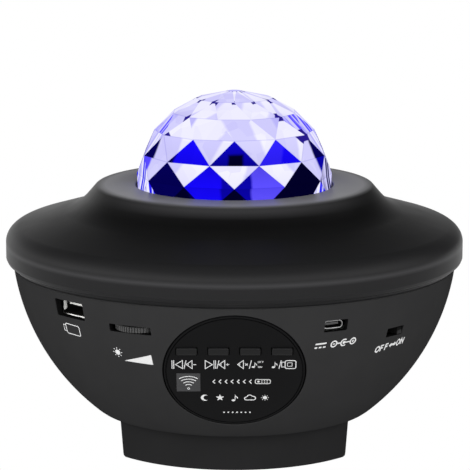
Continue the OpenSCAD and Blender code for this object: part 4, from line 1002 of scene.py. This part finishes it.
# ---------------------------------------------------------------- slide switch
# The power switch is a slide switch in a pressed steel can. Its black knob stands in a slot with OFF at its
# left end and ON at its right.
dress(metal("pressed_steel", (0.66, 0.65, 0.63), 0.3), "switch_housing")
knob = bar("switch_knob_cap", oblong(2.2, 2.4, 0.15, (2.65, -0.1)), 68.04, 77.8, switch_at)
joined(knob, "power_knob", "key_black", matt_black, "switch_knob")
arrow = np.array([(-1.2, 0), (-0.55, 0.6), (-0.55, 0.25), (0.55, 0.25), (0.55, 0.6), (1.2, 0)])
arrow = [filled(np.concatenate([arrow, arrow[-2:0:-1] * [1, -1]]))]
ends = [*moved(word("OFF", 2.3, 0.22), (-8.3, 0)), *moved(arrow, (0.1, 1.15), 1.5),
        *moved(word("ON", 2.3, 0.22), (2.2, 0))]
on_bowl("print_off_on", moved(ends, (0, -1.15), turn=5, lean=0.12), 46.4, 48.9)


# ---------------------------------------------------------------- boards
# Every socket and the key panel has its own small board of green glass laminate, and the main board stands
# on four posts in the foot. The green is painted dark and the boards behind open windows are painted black,
# as shade inside the bowl. Copper tracks show paler.
def laminate(name, tone):
    """Lacquered board: colour = tone, paler where copper tracks (a brick pattern's joints) run below, with
    bright pads where a fine grid of dots crosses them."""
    def paint(wire):
        tracks = wire.node("TexBrick", {"offset": 0.35}, {
            "Vector": wire.node("TexCoord", out=3), "Scale": 220.0, "Mortar Size": 0.09, "Brick Width": 0.9,
            "Row Height": 0.34}, out=1)
        mottle = clouds(wire, 0.002) * 0.25
        light = (*[min(c * 2.2 + 0.015, 1) for c in tone], 1)
        colour = (tracks * 0.8 + mottle).clipped().mixed((*tone, 1), light)
        return {"Base Color": colour, "Roughness": mottle * 0.3 + 0.25,
                "Normal": bumped(wire, 0.2, 0.00003, tracks)}
    return finish(name, paint, Coat_Weight=0.3)


green_board = laminate("green_laminate", (0.003, 0.028, 0.010))
dress(green_board, "key_board", "dimmer_board", "main_board")
dress(laminate("black_laminate", (0.004, 0.005, 0.004)), "usb_board", "inlet_board", "switch_board")
# Chips, sockets, the receiver, the potentiometer and the key switches are black epoxy and nylon.
epoxy = moulded("black_epoxy", (0.016, 0.016, 0.017), 0.45, 0.4, 0.08, 0.2)
dress(epoxy, "board_parts", "ir_receiver", "key_switches", "dimmer_pot")
dress(plated_steel, "port_screws", "panel_screws", "board_screws", "retainer_screws", "mask_screws",
      "speaker_screws")


# ---------------------------------------------------------------- optics
# Under the dome a white tray holds the works. Light from four emitters goes through lenses and a rippled
# disc that turns; a green laser shines through a grating wheel that the same motor drives with a pinion.
white_part = moulded("white_tray_plastic", (0.62, 0.62, 0.61), 0.5, 0.3, 0.05, 0.03)
dress(white_part, "optics_tray", "dome_retainer")
nylon_gear = moulded("milky_nylon_gear", (0.58, 0.57, 0.52), 0.34, 0.4, 0.03, 0.05)
dress(nylon_gear, "motor_pinion", "grating_wheel")
dress(clear("rippled_acrylic", (0.86, 0.90, 0.97), 0.06, 0.8, 0.003), "ripple_disc")
dress(clear("lens_acrylic", (0.93, 0.95, 0.98), 0.03), "led_lenses")
dress(clear("laser_glass", (0.70, 0.95, 0.78), 0.02), "laser_lens")
dress(moulded("matt_black_mask", (0.01, 0.01, 0.01), 0.8, 0.05, 0.2), "light_mask", "laser_holder")
dress(laminate("white_laminate", (0.52, 0.53, 0.52)), "led_board")
dress(metal("turned_brass", (0.74, 0.54, 0.24), 0.24, 0.14), "laser_module")
dress(metal("turned_steel", (0.60, 0.59, 0.58), 0.26, 0.16), "ripple_axle", "gear_motor")
dress(metal("extruded_aluminium", (0.78, 0.79, 0.80), 0.38, 0.2), "heat_sink")


def phosphor(wire):
    """Emitters: yellow phosphor that glows, brightest in the middle of its soft patches."""
    patch = clouds(wire, 0.002)
    return {"Base Color": patch.mixed((0.75, 0.62, 0.12, 1), (0.85, 0.78, 0.35, 1)),
            "Roughness": patch * 0.1 + 0.4,
            "Emission Color": patch.mixed((0.35, 0.4, 1.0, 1), (0.6, 0.65, 1.0, 1))}


dress(finish("glowing_phosphor", phosphor, Emission_Strength=2.0), "led_emitters")


# ---------------------------------------------------------------- speaker
# A small speaker faces down on a foam ring over the sound holes: a pressed frame, a black paper cone on a
# rolled rubber edge, and a sintered magnet behind.
def fibred(wire):
    """Felted paper: colour and height follow fine stretched fibres of 0.8 mm."""
    fibre = clouds(wire, 0.0008, 6.0, 0.75)
    return {"Base Color": fibre.mixed((0.010, 0.010, 0.010, 1), (0.035, 0.034, 0.032, 1)),
            "Roughness": fibre * 0.1 + 0.8, "Normal": bumped(wire, 0.5, 0.00008, fibre)}


dress(finish("cone_paper", fibred), "speaker_cone")
# On the speaker the rolled edge bends as the cone moves; here it is made in twelve sectors that stay as
# they are.
edge_rubber = rubber("rolled_edge_rubber", (0.02, 0.02, 0.02))
edge_t, edge_box = 0.3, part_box("speaker_surround")
outer, flat_z = edge_box[1][0] / mm, edge_box[1][2] / mm - edge_t / 2
cone_edge, roll = outer - 3.4, 1.0
roll_middle = cone_edge + 1.15
rolled = arc((roll_middle, flat_z), (roll, roll), 0, -180, 16)
path = np.array([[outer, flat_z], *rolled, [cone_edge - 1.1, flat_z]])
for k in range(12):
    t = np.radians(np.linspace(30 * k, 30 * k + 30, 6))[:, None]
    sector = np.stack([path[:, 0] * np.cos(t), path[:, 0] * np.sin(t), path[:, 1] + 0 * t], -1)
    mesh = thick(skin("sector", sector, around=False, along=False), edge_t)
    sector = joined(shown(f"speaker_edge_{k + 1}", mesh), None, "rubber", edge_rubber, "speaker_surround")
    way = np.array([np.cos(t[:, 0].mean()), np.sin(t[:, 0].mean()), 0])
    way * cone_edge * mm
    way * (roll_middle + 1.1) * 0.966 * mm
    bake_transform(sector)
dress(rubber("foam_ring", (0.03, 0.03, 0.033)), "speaker_gasket")
dress(metal("black_plated_frame", (0.20, 0.20, 0.21), 0.35), "speaker_frame")
dress(metal("sintered_ferrite", (0.09, 0.09, 0.10), 0.55), "speaker_magnet")


# ---------------------------------------------------------------- studio
# A pale floor that runs out of sight, a broad soft light from the front, a low pale glow behind, little
# from overhead, and the camera.
def pale(wire):
    """The floor glows evenly white and throws nothing back."""
    return {"Base Color": (0, 0, 0, 1), "Roughness": clouds(wire, 0.3) * 0.1 + 0.8,
            "Emission Color": (1, 1, 1, 1)}


wide, far = 4000.0, 9000.0
floor = skin("floor", np.array([[[-wide, -wide, 0], [wide, -wide, 0]], [[-wide, far, 0], [wide, far, 0]]]),
             around=False, along=False)
floor.data.materials.append(finish("pale_floor", pale, Emission_Strength=1.0, Specular_IOR_Level=0.0))

sky = bpy.data.worlds.new("soft_studio")
bpy.context.scene.world = sky
sky.use_nodes = True
sky.node_tree.nodes.clear()
wire = Wire(sky.node_tree)
x, y, z = wire.node("TexCoord", out=0).axes()


def by_height(*stops):
    """A strength that follows the height z of the direction, from 0 level to 1 straight up, through stops
    (height, strength)."""
    return wire.node("ValToRGB", {"stops": [(at, (value,) * 3) for at, value in stops]}, {"Fac": z})


front = (0.6 - y * 1.3).clipped() * by_height((0.0, 0.9), (0.3, 1.0), (0.6, 0.55), (0.82, 0.0))
left = (0.6 - x * 0.9).clipped()
behind = left * by_height((0.0, 0.8), (0.15, 1.0), (0.3, 0.45), (0.45, 0.1), (0.6, 0.0))
strength = front * 4.6 + behind * 1.3 + 0.05
light = wire.node("Background", None, {"Color": (1, 1, 1, 1), "Strength": strength})
wire.node("OutputWorld", None, {"Surface": light})

# A long lens 0.9 m in front and 0.25 m up looks down by 11 degrees.
lens = bpy.data.cameras.new("camera")
lens.sensor_width, lens.lens = 36, 186.9
camera = bpy.data.objects.new("camera", lens)
camera.location = (0, -0.8846, 0.24705)
camera.rotation_euler = (np.radians(79.17), 0, np.radians(-0.015))
bpy.context.scene.collection.objects.link(camera)
bpy.context.scene.camera = camera
bpy.context.scene.view_settings.view_transform = "Standard"
